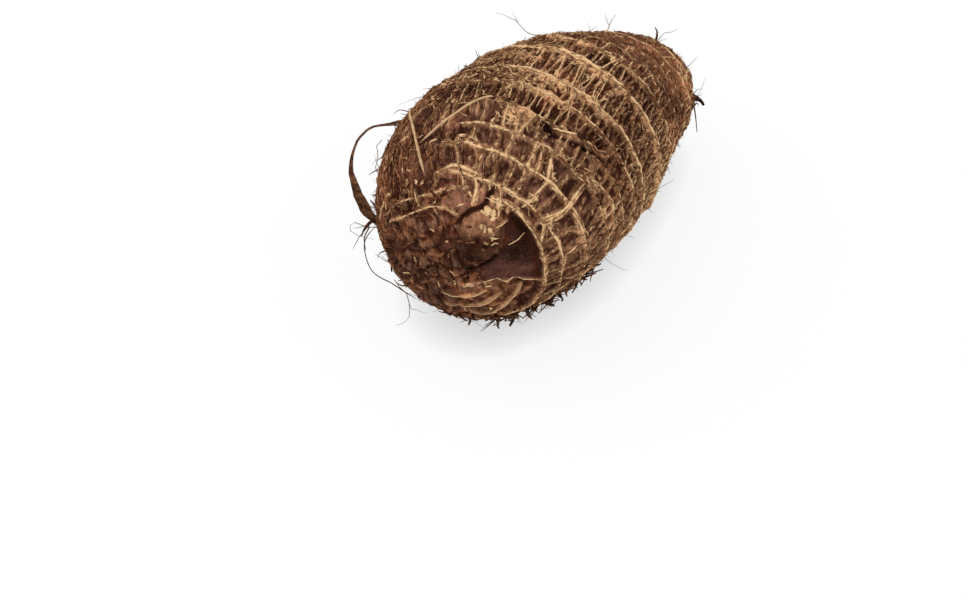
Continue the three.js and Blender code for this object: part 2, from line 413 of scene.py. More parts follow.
# %% Noise that follows the corm
GIRTH_RADIUS = 33.0  # mm, at the belly
LINE_LENGTH = line_steps.sum()


def wrapped(radius, degrees, along):
    """Coordinates in mm round a straight line."""
    angle = np.radians(np.asarray(degrees, float))
    radius, angle, along = np.broadcast_arrays(radius, angle, along)
    return np.stack([radius * np.cos(angle), radius * np.sin(angle), along], axis=-1)


def rolled(length, degrees, stretch=1.0):
    """Coordinates on an even roll, squeezed along its length so that patterns run lengthwise."""
    return wrapped(GIRTH_RADIUS, degrees, length / stretch)


def straightened(length, degrees, stretch=1.0):
    """Coordinates on the corm with its bend taken out, so that patterns stay even at both ends."""
    station = station_at(length)
    return wrapped(body_radius(station), degrees, LINE_LENGTH * station / stretch)


def grain(size, stretch, octaves, seed, degrees=None):
    """Noise on the grid, from about -1 to 1, with features of a size in mm, stretched along the corm."""
    degrees = angle_grid if degrees is None else degrees
    places = straightened(length_grid, degrees, stretch) / size + seed
    values = [noise.fractal(Vector(p), 1.0, 2.0, octaves) for p in places.reshape(-1, 3).tolist()]
    return np.array(values).reshape(places.shape[:-1])


def net(places):
    """Distance from the edge of a closed cell: 0 on an edge, and rising toward the cell's middle."""
    nearest = [noise.voronoi(Vector(p))[0] for p in places.reshape(-1, 3).tolist()]
    return np.array([d[1] - d[0] for d in nearest]).reshape(places.shape[:-1])


# %% The grid
ROWS = 300
COLUMNS = 324
row_length = np.linspace(0, SKIN_LENGTH, ROWS + 1)
column_angle = np.arange(COLUMNS) * 360 / COLUMNS
length_grid, angle_grid = np.meshgrid(row_length, column_angle, indexing="ij")
base_grid = smooth_skin(station_at(length_grid), angle_grid)

round_step = np.roll(base_grid, -1, axis=1) - np.roll(base_grid, 1, axis=1)
down_step = np.gradient(base_grid, axis=0)
normal_grid = np.cross(down_step, round_step)
normal_grid[0] = -middle_line(np.array(0.0))[3]
normal_grid[-1] = middle_line(np.array(1.0))[3]
normal_grid /= np.linalg.norm(normal_grid, axis=-1, keepdims=True)
print("grid of", ROWS + 1, "by", COLUMNS, "points")

# %% Coordinates on the crown face
cap_x = length_grid * np.cos(np.radians(angle_grid))
cap_y = length_grid * np.sin(np.radians(angle_grid))


# %% Paths and look-ups on the grid
def near_path(stations_and_angles, width):
    """1 on a path over the skin, given as (station, degrees) points, falling away over a width in mm."""
    route = np.array(stations_and_angles, float)
    steps = np.linspace(0, len(route) - 1, 12 * len(route))
    station = np.interp(steps, np.arange(len(route)), route[:, 0])
    degrees = np.interp(steps, np.arange(len(route)), route[:, 1])
    nearest = np.full(length_grid.shape, np.inf)
    for point in smooth_skin(station, degrees):
        nearest = np.minimum(nearest, np.linalg.norm(base_grid - point, axis=-1))
    return bell(nearest / MM + 0.35 * raggedness, width)


def look_up(values, length, degrees):
    """Values of the grid at any length and angle."""
    row = np.clip(np.asarray(length, float) / SKIN_LENGTH * ROWS, 0, ROWS - 1e-6)
    column = np.mod(np.asarray(degrees, float), 360) / 360 * COLUMNS
    row, column = np.broadcast_arrays(row, column)
    above = row.astype(int)
    left = column.astype(int) % COLUMNS
    right = (left + 1) % COLUMNS
    row_share = row - above
    column_share = column - np.floor(column)
    if values.ndim == 3:
        row_share, column_share = row_share[..., None], column_share[..., None]
    upper = values[above, left] * (1 - column_share) + values[above, right] * column_share
    lower = values[above + 1, left] * (1 - column_share) + values[above + 1, right] * column_share
    return upper * (1 - row_share) + lower * row_share


# %% Masks on the grid
LIT_SIDE = 28  # the degrees round the corm where the rings show best


def past(start, end, shift=0):
    """0 nearer to the crown than start, in mm along the skin, and 1 farther than end, on the grid."""
    return smoothstep(length_grid + shift, start, end)


def beside(angle, spread):
    """1 at an angle round the corm, falling away over a spread in degrees, on the grid."""
    return bell(turn_from(angle_grid, angle), spread)


def left_of_face(degrees, start, end):
    """0 on the lit half of the crown end and 1 on its dark half, where the rings are worn away."""
    return smoothstep(np.abs(turn_from(degrees, LIT_SIDE)), start, end)

# %% Rings and bands
LEDGE_HEIGHT = 0.7
LEDGE_WIDTH = 0.6
WORN_RINGS = 5
LAST_BOLD_RING = 8
RING_BOLDNESS = [1.0, 0.8, 1.0, 1.0, 0.3, 0.6, 0.9, 1.1, 0.8, 0.6, 0.6, 0.6, 0.6, 0.6]
wobble = 0.6 * grain(11, 1, 2, 3.1)
raggedness = grain(4, 1, 2, 8.7)
scraps = grain(1.7, 1, 2, 33.0)

ledge = np.zeros_like(length_grid)
in_band = length_grid.copy()
band_number = np.zeros_like(length_grid)
from_rings = []
worn = left_of_face(angle_grid, 66, 86)
for ring, boldness in enumerate(RING_BOLDNESS):
    from_ring = length_grid + wobble - ring_length(ring, angle_grid)
    strength = boldness * np.clip(0.8 + 0.7 * raggedness, 0.2, 1.3)
    strength *= 1 - 0.6 * worn * (ring < WORN_RINGS)
    strength *= 1 - 0.8 * (ring == 0) * smoothstep(turn_from(angle_grid, 60), -6, 12)
    crest = bell(from_ring, LEDGE_WIDTH)
    skirt = np.where(from_ring < 0, bell(from_ring, 1.2), bell(from_ring, 3.2))
    ledge = np.maximum(ledge, strength * (0.6 * crest + 0.4 * skirt))
    in_band = np.where(from_ring > 0, from_ring, in_band)
    band_number += from_ring > 0
    from_rings.append(from_ring)
print(len(from_rings), "ledges")

# %% Where each kind of bark lies
shaggy = beside(160, 44) * past(15, 26) * (1 - past(62, 92))
tail = past(91, 102, 4 * raggedness)
belly = past(47, 56) * (1 - 0.75 * tail)
crown_face = 1 - past(23.2, 25.2, wobble)
crown_face *= 1 - 0.85 * beside(80, 30) * past(13, 17, 2 * raggedness)
MATS = [
    # ring, mm behind it, half width, middle angle, spread round the corm
    (3, 5.5, 3.0, 78, 9), (5, 0.6, 2.2, 86, 18), (6, -2.2, 3.6, 88, 17), (6, 0.2, 2.4, 68, 30),
    (7, -0.2, 2.8, 80, 34), (7, 0.3, 1.4, 30, 45), (8, 0.0, 1.1, 62, 50), (6, 9.0, 2.6, 114, 20),
    (5, 3.0, 2.0, 118, 16), (3, 1.0, 1.6, 46, 8), (3, 2.5, 1.6, 32, 10), (3, 5.8, 2.2, 81, 7),
    (1, 0.3, 1.7, 33, 4.5), (2, 0.2, 2.0, 17.5, 5), (2, 0.6, 1.3, 104, 8), (0, -1.5, 1.4, 62, 10),
]
mats = np.zeros_like(length_grid)
for ring, behind, width, middle, reach in MATS:
    mats = np.maximum(mats, bell(from_rings[ring] - behind, width) * beside(middle, reach))
tanned = smoothstep(mats + 0.3 * raggedness + 0.45 * scraps, 0.32, 0.55) * smoothstep(mats, 0.05, 0.2)

# %% Lighter and darker stretches of the bark, partly painted light and shade
# Most patches are the bark's own tone. Some are painted light and shade: the lit upper side of the tail,
# near 129 mm and 42 degrees, is lighter, and the shaded underside beside the crown, near 31 to 37 mm and
# 318 to 325 degrees, is darker.
TONE_AND_SHADE_PATCHES = [
    # middle length and reach in mm, middle angle and spread in degrees, stops lighter or darker
    (70, 36, 41, 13, -0.85), (58, 7, 22, 12, -0.6), (52, 17, 100, 12, -0.55), (59, 6, 98, 10, -0.45),
    (92, 8, 60, 12, -0.4), (26, 5, 120, 12, -0.6), (37, 10, 318, 14, -1.1), (20, 4.5, 84, 26, 0.95),
    (21, 8, 312, 24, 0.45), (10, 7, 295, 28, 0.4), (129, 12, 42, 32, 0.6), (34, 6, 160, 11, 0.7),
    (50, 7, 163, 12, 0.45), (42, 5, 342, 9, 0.3), (18, 6, 130, 24, 0.2), (64, 10, 85, 16, 0.12),
    (8.5, 4, 150, 24, -0.5), (4.2, 2.2, 172, 30, 0.5), (31, 9, 345, 24, -0.6), (52, 10, 356, 15, -0.85),
    (42, 6, 30, 14, -0.75), (26, 5, 8, 28, -0.35), (102, 9, 40, 14, -0.4), (87, 9, 110, 14, -0.4),
    (18, 5, 40, 9, 0.8), (34, 6, 182, 12, 0.6), (34, 5, 140, 9, 0.4), (34, 5, 102, 7, -0.4),
    (50, 6, 140, 10, 0.4), (128, 9, 75, 18, 0.3), (45, 14, 70, 26, -0.25), (31, 5, 60, 10, -0.2),
    (116, 14, 92, 36, 0.2), (94, 10, 64, 14, 0.35), (74, 7, 80, 12, 0.3), (36, 8, 325, 10, -0.5),
    (72, 20, 132, 16, -0.35), (57, 7, 106, 12, -0.4), (34, 8, 322, 16, -0.35), (42, 7, 135, 12, -0.2),
    (18, 4, 108, 14, -0.3), (18, 4, 80, 7, 0.3), (52, 6, 162, 12, 0.3), (90, 8, 102, 8, -0.3),
    (28, 8, 18, 20, -0.3), (42, 5, 28, 14, -0.2), (10, 5, 76, 14, -0.2), (31, 6, 66, 8, 0.25),
]
tone_and_shade = 0.55 * grain(10, 1.2, 2, 61.0)
tone_and_shade += 0.55 * grain(4.5, 1.2, 2, 67.0)
tone_and_shade += 0.14 + 0.5 * (ledge - 0.3) * (1 - tail) * (1 - shaggy) * (1 - crown_face)
tone_and_shade -= 0.45 * past(118, 142, 5 * raggedness) * (1 - beside(62, 50))
for middle, reach, angle, turn_spread, stops in TONE_AND_SHADE_PATCHES:
    tone_and_shade += stops * bell(length_grid - middle, reach) * beside(angle, turn_spread)
print("the bark runs from", tone_and_shade.min().round(1), "to", tone_and_shade.max().round(1), "stops")

# %% Lengthwise wrinkles, lumps, knots and the fine net
SLANT = 0.33  # how many degrees the fibres lean for each mm from ring to ring
leaning = smoothstep(turn_from(angle_grid, 60), -110, -70) - smoothstep(turn_from(angle_grid, 60), 55, 100)
slanted_angle = angle_grid - SLANT * leaning * (in_band - 4)
net_distance = net(rolled(in_band + 57 * band_number, slanted_angle, 4.0) / 1.9) + 0.1 * raggedness
netted = np.clip(belly * (1 - 0.6 * shaggy), 0, 1)
fine_net = bell(net_distance, 0.17) * netted
hole = smoothstep(net_distance, 0.12, 0.45) * netted
wrinkle = np.clip(1 - np.abs(grain(2.2, 5.0, 3, 1.3, slanted_angle)) * 3, 0, 1)
fuzz = grain(1.1, 1.6, 2, 5.5)
lumps = grain(22, 1.3, 2, 12.4)
knots = grain(6.5, 1.0, 2, 21.0)
clods = net(straightened(length_grid, angle_grid) / 4.2 + 0.12 * raggedness[..., None])
crumb_tone = grain(2.6, 1.0, 3, 47.0)
clod_gaps = (1 - smoothstep(clods, 0.03, 0.16)) * crown_face
for kind, share in (("shaggy", shaggy), ("tan", tanned), ("tail", tail)):
    print(kind, "bark covers", round(100 * share.mean()), "% of the grid")

# %% [markdown]
# ## Where the fibres run
#
# The rims and rungs are modelled later as strands, but they are planned here, because the bark under
# a fibre rises with it like skin over a vein. Each strand is a row of lengths and angles. A row is
# pressed into the grid with a soft profile, so that the strand later sits half sunk in its own swell.


# %% Helpers for planned strands
def wavy(dice, count, sections, size, waves=2.5):
    """Sideways waves, different for each strand."""
    x = np.linspace(0, 1, sections)
    first, second = dice.uniform(0, 2 * np.pi, (2, count, 1))
    pace = dice.uniform(0.6, waves, (count, 1))
    return size * (np.sin(2 * np.pi * pace * x + first) + 0.5 * np.sin(4.3 * np.pi * pace * x + second))


def emboss(length, degrees, half_width, halo=0.9):
    """How far strands along these rows press through the skin, 0 to 1, on the grid."""
    sections = length.shape[1]
    fine = np.linspace(0, sections - 1, 5 * sections)
    low = np.clip(fine.astype(int), 0, sections - 2)
    share = fine - low
    finer = [v[:, low] * (1 - share) + v[:, low + 1] * share
             for v in (length, degrees, np.broadcast_to(half_width, length.shape))]
    row = finer[0] / SKIN_LENGTH * ROWS
    column = finer[1] / 360 * COLUMNS
    column_mm = np.radians(360 / COLUMNS) * ring_radius(finer[0])
    pressed = np.zeros_like(length_grid)
    for down in range(-3, 4):
        for across in range(-3, 4):
            near_row = np.rint(row).astype(int) + down
            near_column = np.rint(column).astype(int) + across
            gap = np.hypot((near_row - row) * SKIN_LENGTH / ROWS, (near_column - column) * column_mm)
            value = 1 - smoothstep(gap, 0.5 * finer[2], finer[2] + halo)
            inside = (near_row >= 0) & (near_row <= ROWS)
            np.maximum.at(pressed, (near_row[inside], near_column[inside] % COLUMNS), value[inside])
    return pressed


def for_each(strand, values):
    """One row a strand, from a list with one value a ring or a band."""
    return np.array(values)[strand][:, None]


# %% Rims of the rings
dice = np.random.default_rng(11)
RIM_SECTIONS = 10
RIM_ARC = 20  # degrees, where the body's radius is that of the next line
ARC_RADIUS = 30
ARC_SPACING = 9
FEWEST_ARCS = 8
MAT_RINGS = (5, 6, 7)
RIM_LAYERS = [2, 2, 2, 2, 1, 2, 4, 5, 2, 2, 2, 2, 2, 2]
RIM_SPREAD = [0.45, 0.4, 0.4, 0.4, 0.5, 0.6, 1.3, 1.1, 0.5, 0.7, 0.6, 0.55, 0.5, 0.5]
RIM_WIDTH = [0.27, 0.30, 0.36, 0.36, 0.26, 0.3, 0.32, 0.36, 0.36, 0.28, 0.27, 0.26, 0.26, 0.24]

ring_of, arc_start = [], []
for ring, layers in enumerate(RIM_LAYERS):
    girth = 2 * math.pi * body_radius(RINGS[ring])
    arcs = max(FEWEST_ARCS, round(girth / ARC_SPACING)) * layers
    ring_of += [ring] * arcs
    arc_start += list(np.arange(arcs) * 360 * layers / arcs + dice.uniform(-8, 8, arcs))
ring_of, arc_start = np.array(ring_of), np.array(arc_start)
count = len(ring_of)
arc = dice.uniform(0.8, 1.5, count) * RIM_ARC * ARC_RADIUS / body_radius(RINGS[ring_of])
x = np.linspace(0, 1, RIM_SECTIONS)
rim_angle = arc_start[:, None] + arc[:, None] * (x - 0.5)
rim_length = np.array([ring_length(ring, angle) for ring, angle in zip(ring_of, rim_angle)])
rim_length -= look_up(wobble, rim_length, rim_angle)
on_top = bell(turn_from(rim_angle, 84), 34)
is_mat = np.isin(ring_of, MAT_RINGS)[:, None]
mat = for_each(ring_of, RIM_SPREAD) * np.where(is_mat, 0.2 + 0.8 * on_top, 1)
drift = dice.normal(0, 0.55, (count, 1)) + dice.normal(0, 0.5, (count, 1)) * (x - 0.5)
rim_length += mat * drift + wavy(dice, count, RIM_SECTIONS, 0.17)
taper = np.sin(np.pi * np.clip(x * 0.94 + 0.03, 0, 1)) ** 0.45
rim_width = for_each(ring_of, RIM_WIDTH) * dice.uniform(0.5, 1.25, (count, 1)) * taper
rim_width = rim_width * (1 + 0.5 * np.clip(wavy(dice, count, RIM_SECTIONS, 0.6, 4.5), -0.5, 1.0))
middle_angle = rim_angle[:, RIM_SECTIONS // 2]
hidden = look_up(shaggy, rim_length[:, RIM_SECTIONS // 2], middle_angle)
worn = left_of_face(middle_angle, 66, 84) * (ring_of < WORN_RINGS)
faded = np.maximum(hidden * 0.9, 0.93 * worn)
faded += 0.3 * (ring_of > LAST_BOLD_RING) * bell(turn_from(middle_angle, 70), 60)
faded += (ring_of == 0) * (turn_from(middle_angle, 60) > 0)
keep = dice.uniform(0, 1, count) > faded
rim_shade = dice.normal(0.62, 0.22, count) - 0.35 * hidden - 0.15 * (ring_of > LAST_BOLD_RING)
rim_shade = np.clip(rim_shade, 0, 1)[keep]
rim_length, rim_angle, rim_width, ring_of = (
    v[keep] for v in (rim_length, rim_angle, rim_width, ring_of)
)
print(len(rim_length), "rim strands planned")

# %% [markdown]
# ## Rungs between the rings
#
# Vascular fibres cross each band from ring to ring like the rungs of a ladder. They are bold and far
# apart behind the crown, and fine and crowded round the belly. Nearly all lean a little the same way,
# some fork, and some stop half way. Each rung is wider at both ends, where it webs into the rims.

# %% Rungs
dice = np.random.default_rng(23)
RUNG_SECTIONS = 7
RUNG_SPACING = [5.5, 4.6, 5.0, 2.8, 2.4, 1.9, 1.55, 1.6, 2.6, 4.5, 6.0, 7.0, 7.0]
RUNG_WIDTH = [0.22, 0.28, 0.30, 0.25, 0.23, 0.22, 0.22, 0.23, 0.22, 0.2, 0.18, 0.18, 0.18]
FORK_SHARE = [0.2, 0.2, 0.2, 0.4, 0.4, 0.35, 0.3, 0.3, 0.3, 0.3, 0.2, 0.2, 0.2]
PARTIAL_SHARE = 0.22
WORN_BANDS = 3
LAST_WIDE_BAND = 3
EXTRA_RUNGS = [
    # band, first and last degrees, spacing in mm
    (0, -38, 30, 1.5), (1, -30, 12, 1.9), (2, -25, 25, 2.1),
]


def rung_count(band, turn, spacing):
    """How many rungs a spacing in mm leaves room for, over a turn in radians in the middle of a band."""
    return round(turn * body_radius((RINGS[band] + RINGS[band + 1]) / 2) / spacing)


# %% Where the rungs stand
band_of, rung_angle = [], []
for band, spacing in enumerate(RUNG_SPACING):
    rungs = rung_count(band, 2 * math.pi, spacing)
    band_of += [band] * rungs
    rung_angle += list((np.arange(rungs) + dice.uniform(-0.35, 0.35, rungs)) * 360 / rungs)
even_rungs = len(band_of)
for band, start, end, spacing in EXTRA_RUNGS:
    rungs = rung_count(band, math.radians(end - start), spacing)
    band_of += [band] * rungs
    rung_angle += list(np.linspace(start, end, rungs) + dice.uniform(-1.2, 1.2, rungs))
extra_rungs = np.arange(len(band_of)) >= even_rungs
band_of, rung_angle = np.array(band_of), np.array(rung_angle)
forks = dice.uniform(0, 1, len(band_of)) < np.array(FORK_SHARE)[band_of]
extra_rungs = np.concatenate([extra_rungs, extra_rungs[forks]])
band_of = np.concatenate([band_of, band_of[forks]])
rung_angle = np.concatenate([rung_angle, rung_angle[forks]])
count = len(band_of)
x = np.linspace(0, 1, RUNG_SECTIONS)
is_fork = np.arange(count) >= count - forks.sum()
print(even_rungs, "even rungs,", count - forks.sum() - even_rungs, "extra ones and", forks.sum(), "forks")

# %% How far each rung reaches, and how it leans
crown_end = dice.uniform(-0.04, 0.04, count)
tail_end = np.where(dice.uniform(0, 1, count) < PARTIAL_SHARE, dice.uniform(0.45, 0.8, count), 1.03)
from_tail = dice.uniform(0, 1, count) < 0.35
partial = tail_end < 1
crown_end = np.where(partial & from_tail, 1 - tail_end, crown_end)
tail_end = np.where(partial & from_tail, 1.02, tail_end)
share = crown_end[:, None] + (tail_end - crown_end)[:, None] * x
near_ring = np.array([ring_length(b, a) for b, a in zip(band_of, rung_angle)])
far_ring = np.array([ring_length(b + 1, a) for b, a in zip(band_of, rung_angle)])
band_width = far_ring - near_ring
one_mm = degrees_per_mm((near_ring + far_ring) / 2)
lean_here = look_up(leaning, near_ring, rung_angle)
lean = lean_here * SLANT * band_width * dice.normal(1.0, 0.5, count)
lean = lean + dice.normal(0, 0.55, count) * one_mm
rung_turn = rung_angle[:, None] + lean[:, None] * (share - 0.5)
fork_way = dice.choice([-1, 1], count) * dice.uniform(0.9, 2.0, count) * one_mm
rung_turn += is_fork[:, None] * fork_way[:, None] * x**2
rung_turn += wavy(dice, count, RUNG_SECTIONS, 0.14) * one_mm[:, None]
rung_length = near_ring[:, None] + band_width[:, None] * share
rung_length -= look_up(wobble, rung_length, rung_turn)

# %% Width and shade of the rungs
web_ends = 0.66 + 0.8 * np.abs(2 * x - 1) ** 3
thins = np.where(from_tail[:, None], 1 - x, x)
pointed = np.where(partial[:, None], 1 - 0.75 * thins**2, 1.0)
boldness = dice.uniform(0.5, 1.4, (count, 1)) * np.where(extra_rungs, 0.6, 1.0)[:, None]
rung_width = for_each(band_of, RUNG_WIDTH) * boldness * web_ends * pointed
middle = RUNG_SECTIONS // 2
hidden = look_up(shaggy, rung_length[:, middle], rung_turn[:, middle])
worn = left_of_face(rung_turn[:, middle], 60, 78) * (band_of < WORN_BANDS)
keep = dice.uniform(0, 1, count) > np.maximum(0.8 * hidden, 0.75 * worn)
rung_shade = dice.normal(0.52, 0.22, count) - 0.3 * hidden
rung_shade = rung_shade - 0.2 * (band_of > LAST_BOLD_RING) - 0.2 * extra_rungs
rung_shade = np.clip(rung_shade, 0, 1)[keep]
rung_length, rung_turn, rung_width, band_of = (
    v[keep] for v in (rung_length, rung_turn, rung_width, band_of)
)
print(len(rung_length), "rungs planned")

# %% Fibres with a place of their own
FEATURE_SECTIONS = 12
FEATURES = [
    # (station, degrees, height in mm) along it, half width in mm, shade
    ([(.099, 34.5, 0), (.133, 32.8, 0.1), (.172, 34.5, 0.1), (.224, 36.5, 0)], 0.42, 0.75),
    ([(.104, 31.5, 0), (.135, 31.2, 0.3), (.170, 33.2, 0.3), (.215, 34.6, 0)], 0.34, 0.55),
    ([(.097, 37, 0), (.125, 34, 0.2), (.150, 33.5, 0.4), (.185, 36.4, 0.1)], 0.30, 0.9),
    ([(.146, 50, 0), (.170, 53, 0.2), (.199, 56.4, 0)], 0.46, 0.7),
    ([(.150, 47.5, 0), (.170, 50.5, 0.1), (.190, 55, 0)], 0.28, 0.5),
    ([(.111, 81, 0), (.128, 81.6, 0), (.145, 82, 0)], 0.32, 0.6),
    ([(.097, 75, 0), (.112, 75.6, 0), (.127, 76, 0)], 0.26, 0.6),
    ([(.097, 66, 0), (.114, 66.8, 0), (.131, 67.5, 0)], 0.28, 0.65),
    ([(.266, 64, 0.2), (.274, 59, 0.6), (.292, 54.5, 0.2)], 0.32, 0.95),
    ([(.214, 46, 0.3), (.213, 42, 0.8), (.2195, 38, 1.0), (.231, 38.4, 1.0), (.233, 42, 0.6),
      (.226, 44, 0.2)], 0.24, 0.8),
    ([(.306, 49, 0.3), (.304, 44, 0.9), (.318, 39, 1.1), (.345, 37.6, 0.9), (.372, 39.5, 0.3)], 0.5, 0.7),
    ([(.312, 47, 0.5), (.310, 43, 1.3), (.322, 40.5, 1.5), (.340, 40.5, 1.0)], 0.36, 0.45),
    ([(.087, 104, 0), (.093, 99, 0.3), (.092, 92, 0.3), (.088, 82, 0)], 0.5, 0.6),
    ([(.146, 92, 0), (.150, 97, 0.3), (.146, 101, 0.2), (.138, 99, 0)], 0.5, 0.85),
    ([(.071, 172, 0), (.0588, 150, 0.1), (.0516, 129, 0.1), (.0516, 111.5, 0.1), (.0609, 97, 0),
      (.066, 88, 0)], 0.24, 0.4),
    ([(.065, 175, 0), (.043, 155, 0.1), (.036, 130, 0.2), (.037, 112, 0.2), (.0336, 97, 0.1),
      (.030, 90, 0)], 0.2, 0.3),
    ([(.060, 127, 0.1), (.050, 127, 0.1), (.0395, 128, 0)], 0.2, 0.35),
    ([(.243, 36, 0), (.268, 28, 0.1), (.283, 17, 0.1), (.279, 6, 0), (.280, 357, 0),
      (.284, 350, 0)], 0.4, 0.65),
    ([(.245, 33, 0.1), (.272, 26, 0.2), (.287, 15, 0.1), (.283, 4, 0), (.286, 352, 0),
      (.292, 345, 0)], 0.3, 0.5),
    ([(.036, 34, 0.1), (.0477, 34.2, 0.3), (.0609, 35, 0.1)], 0.15, 0.7),
    ([(.0395, 53.5, 0.2), (.0465, 52, 0.5), (.0536, 51, 0.2)], 0.16, 0.75),
    ([(.0048, 300, 0.1), (.0081, 335, 0.2), (.0163, 354, 0.1), (.0232, 352, 0.2), (.0328, 358, 0),
      (.0449, 355, 0.1), (.066, 355, 0)], 0.17, 0.5),
    ([(.081, 84, 0), (.071, 81, 0.2), (.060, 80, 0.2), (.047, 79, 0)], 0.36, 0.55),
    ([(.084, 93, 0), (.074, 91, 0.1), (.062, 90, 0)], 0.26, 0.45),
    ([(.077, 66, 0), (.068, 63, 0.2), (.060, 62, 0.2), (.050, 57, 0)], 0.3, 0.7),
    ([(.0842, 105, 0), (.0795, 109, 0.2), (.0733, 110.2, 0.1), (.064, 110, 0)], 0.34, 0.6),
    ([(.098, 36, 0), (.0935, 34, 0.3), (.0885, 31, 0.3), (.0842, 29.5, 0.2), (.0733, 24, 0)], 0.5, 0.85),
    ([(.112, 33, 0), (.104, 32.5, 0.2), (.0958, 33, 0.3), (.0885, 36, 0)], 0.42, 0.8),
    ([(.1194, 9.5, 0), (.1374, 11, 0.1), (.1648, 12, 0)], 0.36, 0.75),
    ([(.086, 339, 0), (.100, 343, 0.2), (.127, 346, 0.2), (.160, 348, 0.2), (.190, 350, 0.1),
      (.225, 350, 0)], 0.28, 0.85),
]
feature_length, feature_angle, feature_height = smooth_routes(
    [route for route, _, _ in FEATURES], FEATURE_SECTIONS
)
feature_taper = 0.45 + 0.55 * np.sin(np.pi * np.linspace(0.04, 0.96, FEATURE_SECTIONS)) ** 0.6
feature_width = np.array([width for _, width, _ in FEATURES])[:, None] * feature_taper
feature_shade = np.array([shade for _, _, shade in FEATURES])
print(len(FEATURES), "fibres with a place of their own")

# %% Press the fibres through the bark
rim_swell = emboss(rim_length, rim_angle, rim_width) * (1 - 0.7 * tail)
rung_swell = np.zeros_like(length_grid)
for crowded, halo in ((False, 0.9), (True, 0.35)):
    of_kind = (band_of > LAST_WIDE_BAND) == crowded
    kind_swell = emboss(rung_length[of_kind], rung_turn[of_kind], rung_width[of_kind], halo)
    rung_swell = np.maximum(rung_swell, kind_swell * (1 - 0.7 * tail))
swell = np.max([rim_swell, rung_swell, emboss(feature_length, feature_angle, feature_width)], axis=0)
web = np.maximum(smoothstep(swell, 0.35, 0.9), 0.4 * fine_net)
hole = np.maximum(hole * (1 - swell), netted * (1 - smoothstep(swell, 0.05, 0.5)))
print("fibre webs cover", round(100 * web.mean()), "% of the grid")

# %% [markdown]
# ## The crown face
#
# The blunt end is where the leaves grew. It holds a smooth dormant side bud, a bald crescent that
# wraps round the bud where the bark has come away, a crack running up from the bud, and below them
# the thin edges of three old leaf bases, one inside the other. The left half is dark and crumbly.
# The bud's top is painted lighter, as its lit side, and its lower half darker, as its shaded side.

# %% Bud
BUD_CENTRE = (6.6, 11.3)
BUD_SIZE = (6.4, 8.6)
BUD_TURN = math.radians(-14)
crown_side = length_grid < 45
bud_x, bud_y = cap_x - BUD_CENTRE[0], cap_y - BUD_CENTRE[1]
bud_across = bud_x * math.cos(BUD_TURN) + bud_y * math.sin(BUD_TURN)
bud_along = bud_y * math.cos(BUD_TURN) - bud_x * math.sin(BUD_TURN)
bud_distance = np.hypot(bud_across / BUD_SIZE[0], bud_along / BUD_SIZE[1])
bud_distance = np.where(crown_side, bud_distance + 0.08 * knots, 9)
bud = np.clip(1 - np.clip(bud_distance, 0, 1) ** 2, 0, 1) ** 0.7
# Painted light and shade: the bud's upper part is its lit side, its lower half its shaded side.
bud_lit_top = 1 - smoothstep(bud_distance, 0.72, 1.0)
bud_lit_top *= smoothstep(bud_along - 0.35 * bud_across + 2 * knots, -1.0, 2.0)
bud_shaded_low = (1 - smoothstep(bud_distance, 0.8, 1.02)) * (1 - bud_lit_top)
# Painted shade: the bud's shaded lower half, and its lit top a little, are made darker.
tone_and_shade -= 0.4 * bud_shaded_low + 0.2 * bud_lit_top
print("the bud covers", (bud_lit_top > 0.5).sum(), "points of the grid")

# %% Bald crescent
bald_way = np.degrees(np.arctan2(bud_y, bud_x))
bald = (1 - smoothstep(np.abs(turn_from(bald_way, -33)), 64, 76)) * smoothstep(bud_distance, 0.98, 1.06)
bald *= (1 - smoothstep(from_rings[0], -1.4, -0.7)) * crown_side
bald_low_edge = np.interp(cap_x, [2, 7, 12, 17, 26], [-6, -3.8, -1.5, -1.0, -2.0])
bald *= smoothstep(cap_y - bald_low_edge + 0.6 * knots, -0.6, 0.3)
bald *= smoothstep(cap_x + 1.5 * scraps + 0.8 * knots, 6.5, 9.0)
bald_pits = smoothstep(cap_y + 1.5 * scraps, -1, 7) * smoothstep(cap_x, 8, 12)

# %% Cracks, pits and leaf-base edges
ARC_ROUTES = [
    [(.0131, 252), (.0131, 268), (.0128, 287), (.0133, 307), (.0147, 330)],
    [(.0289, 258), (.0262, 276), (.0260, 290), (.0250, 312), (.0267, 329)],
    [(.0420, 282), (.0449, 294), (.0449, 307), (.0422, 324), (.0412, 338), (.0403, 351)],
]
crease = near_path([(.019, 29), (.013, 23), (.008, 17.5), (.002, 5), (.003, -50)], 0.45)
CRACK_ROUTE = [(.028, 85), (.039, 79), (.045, 73), (.053, 71.2), (.066, 71.5), (.082, 71)]
crack = near_path(CRACK_ROUTE, 0.65)
clear_of_crack = 1 - near_path(CRACK_ROUTE, 1.8)
long_crack = near_path([(.262, 70), (.254, 63), (.26, 58), (.282, 50), (.315, 38)], 0.55)
pits = near_path([(.288, 77), (.266, 69.5), (.254, 63.5)], 1.9) + near_path([(.222, 48), (.228, 44)], 1.2)
pits = pits + near_path([(.06, 44), (.062, 36)], 1.5) + near_path([(.32, 44), (.34, 41)], 0.8)
old_scars = np.max([near_path(route, 0.45) for route in ARC_ROUTES], axis=0)
pale_scar = near_path([(.0076, 288), (.0058, 318), (.009, 328)], 0.75) * crown_side
shelves = near_path(ARC_ROUTES[0], 2.6) + near_path(ARC_ROUTES[1], 2.2) + near_path(ARC_ROUTES[2], 1.8)
smooth_low = np.clip(shelves, 0, 1) * (cap_y < 0)
print(len(ARC_ROUTES), "leaf-base edges")

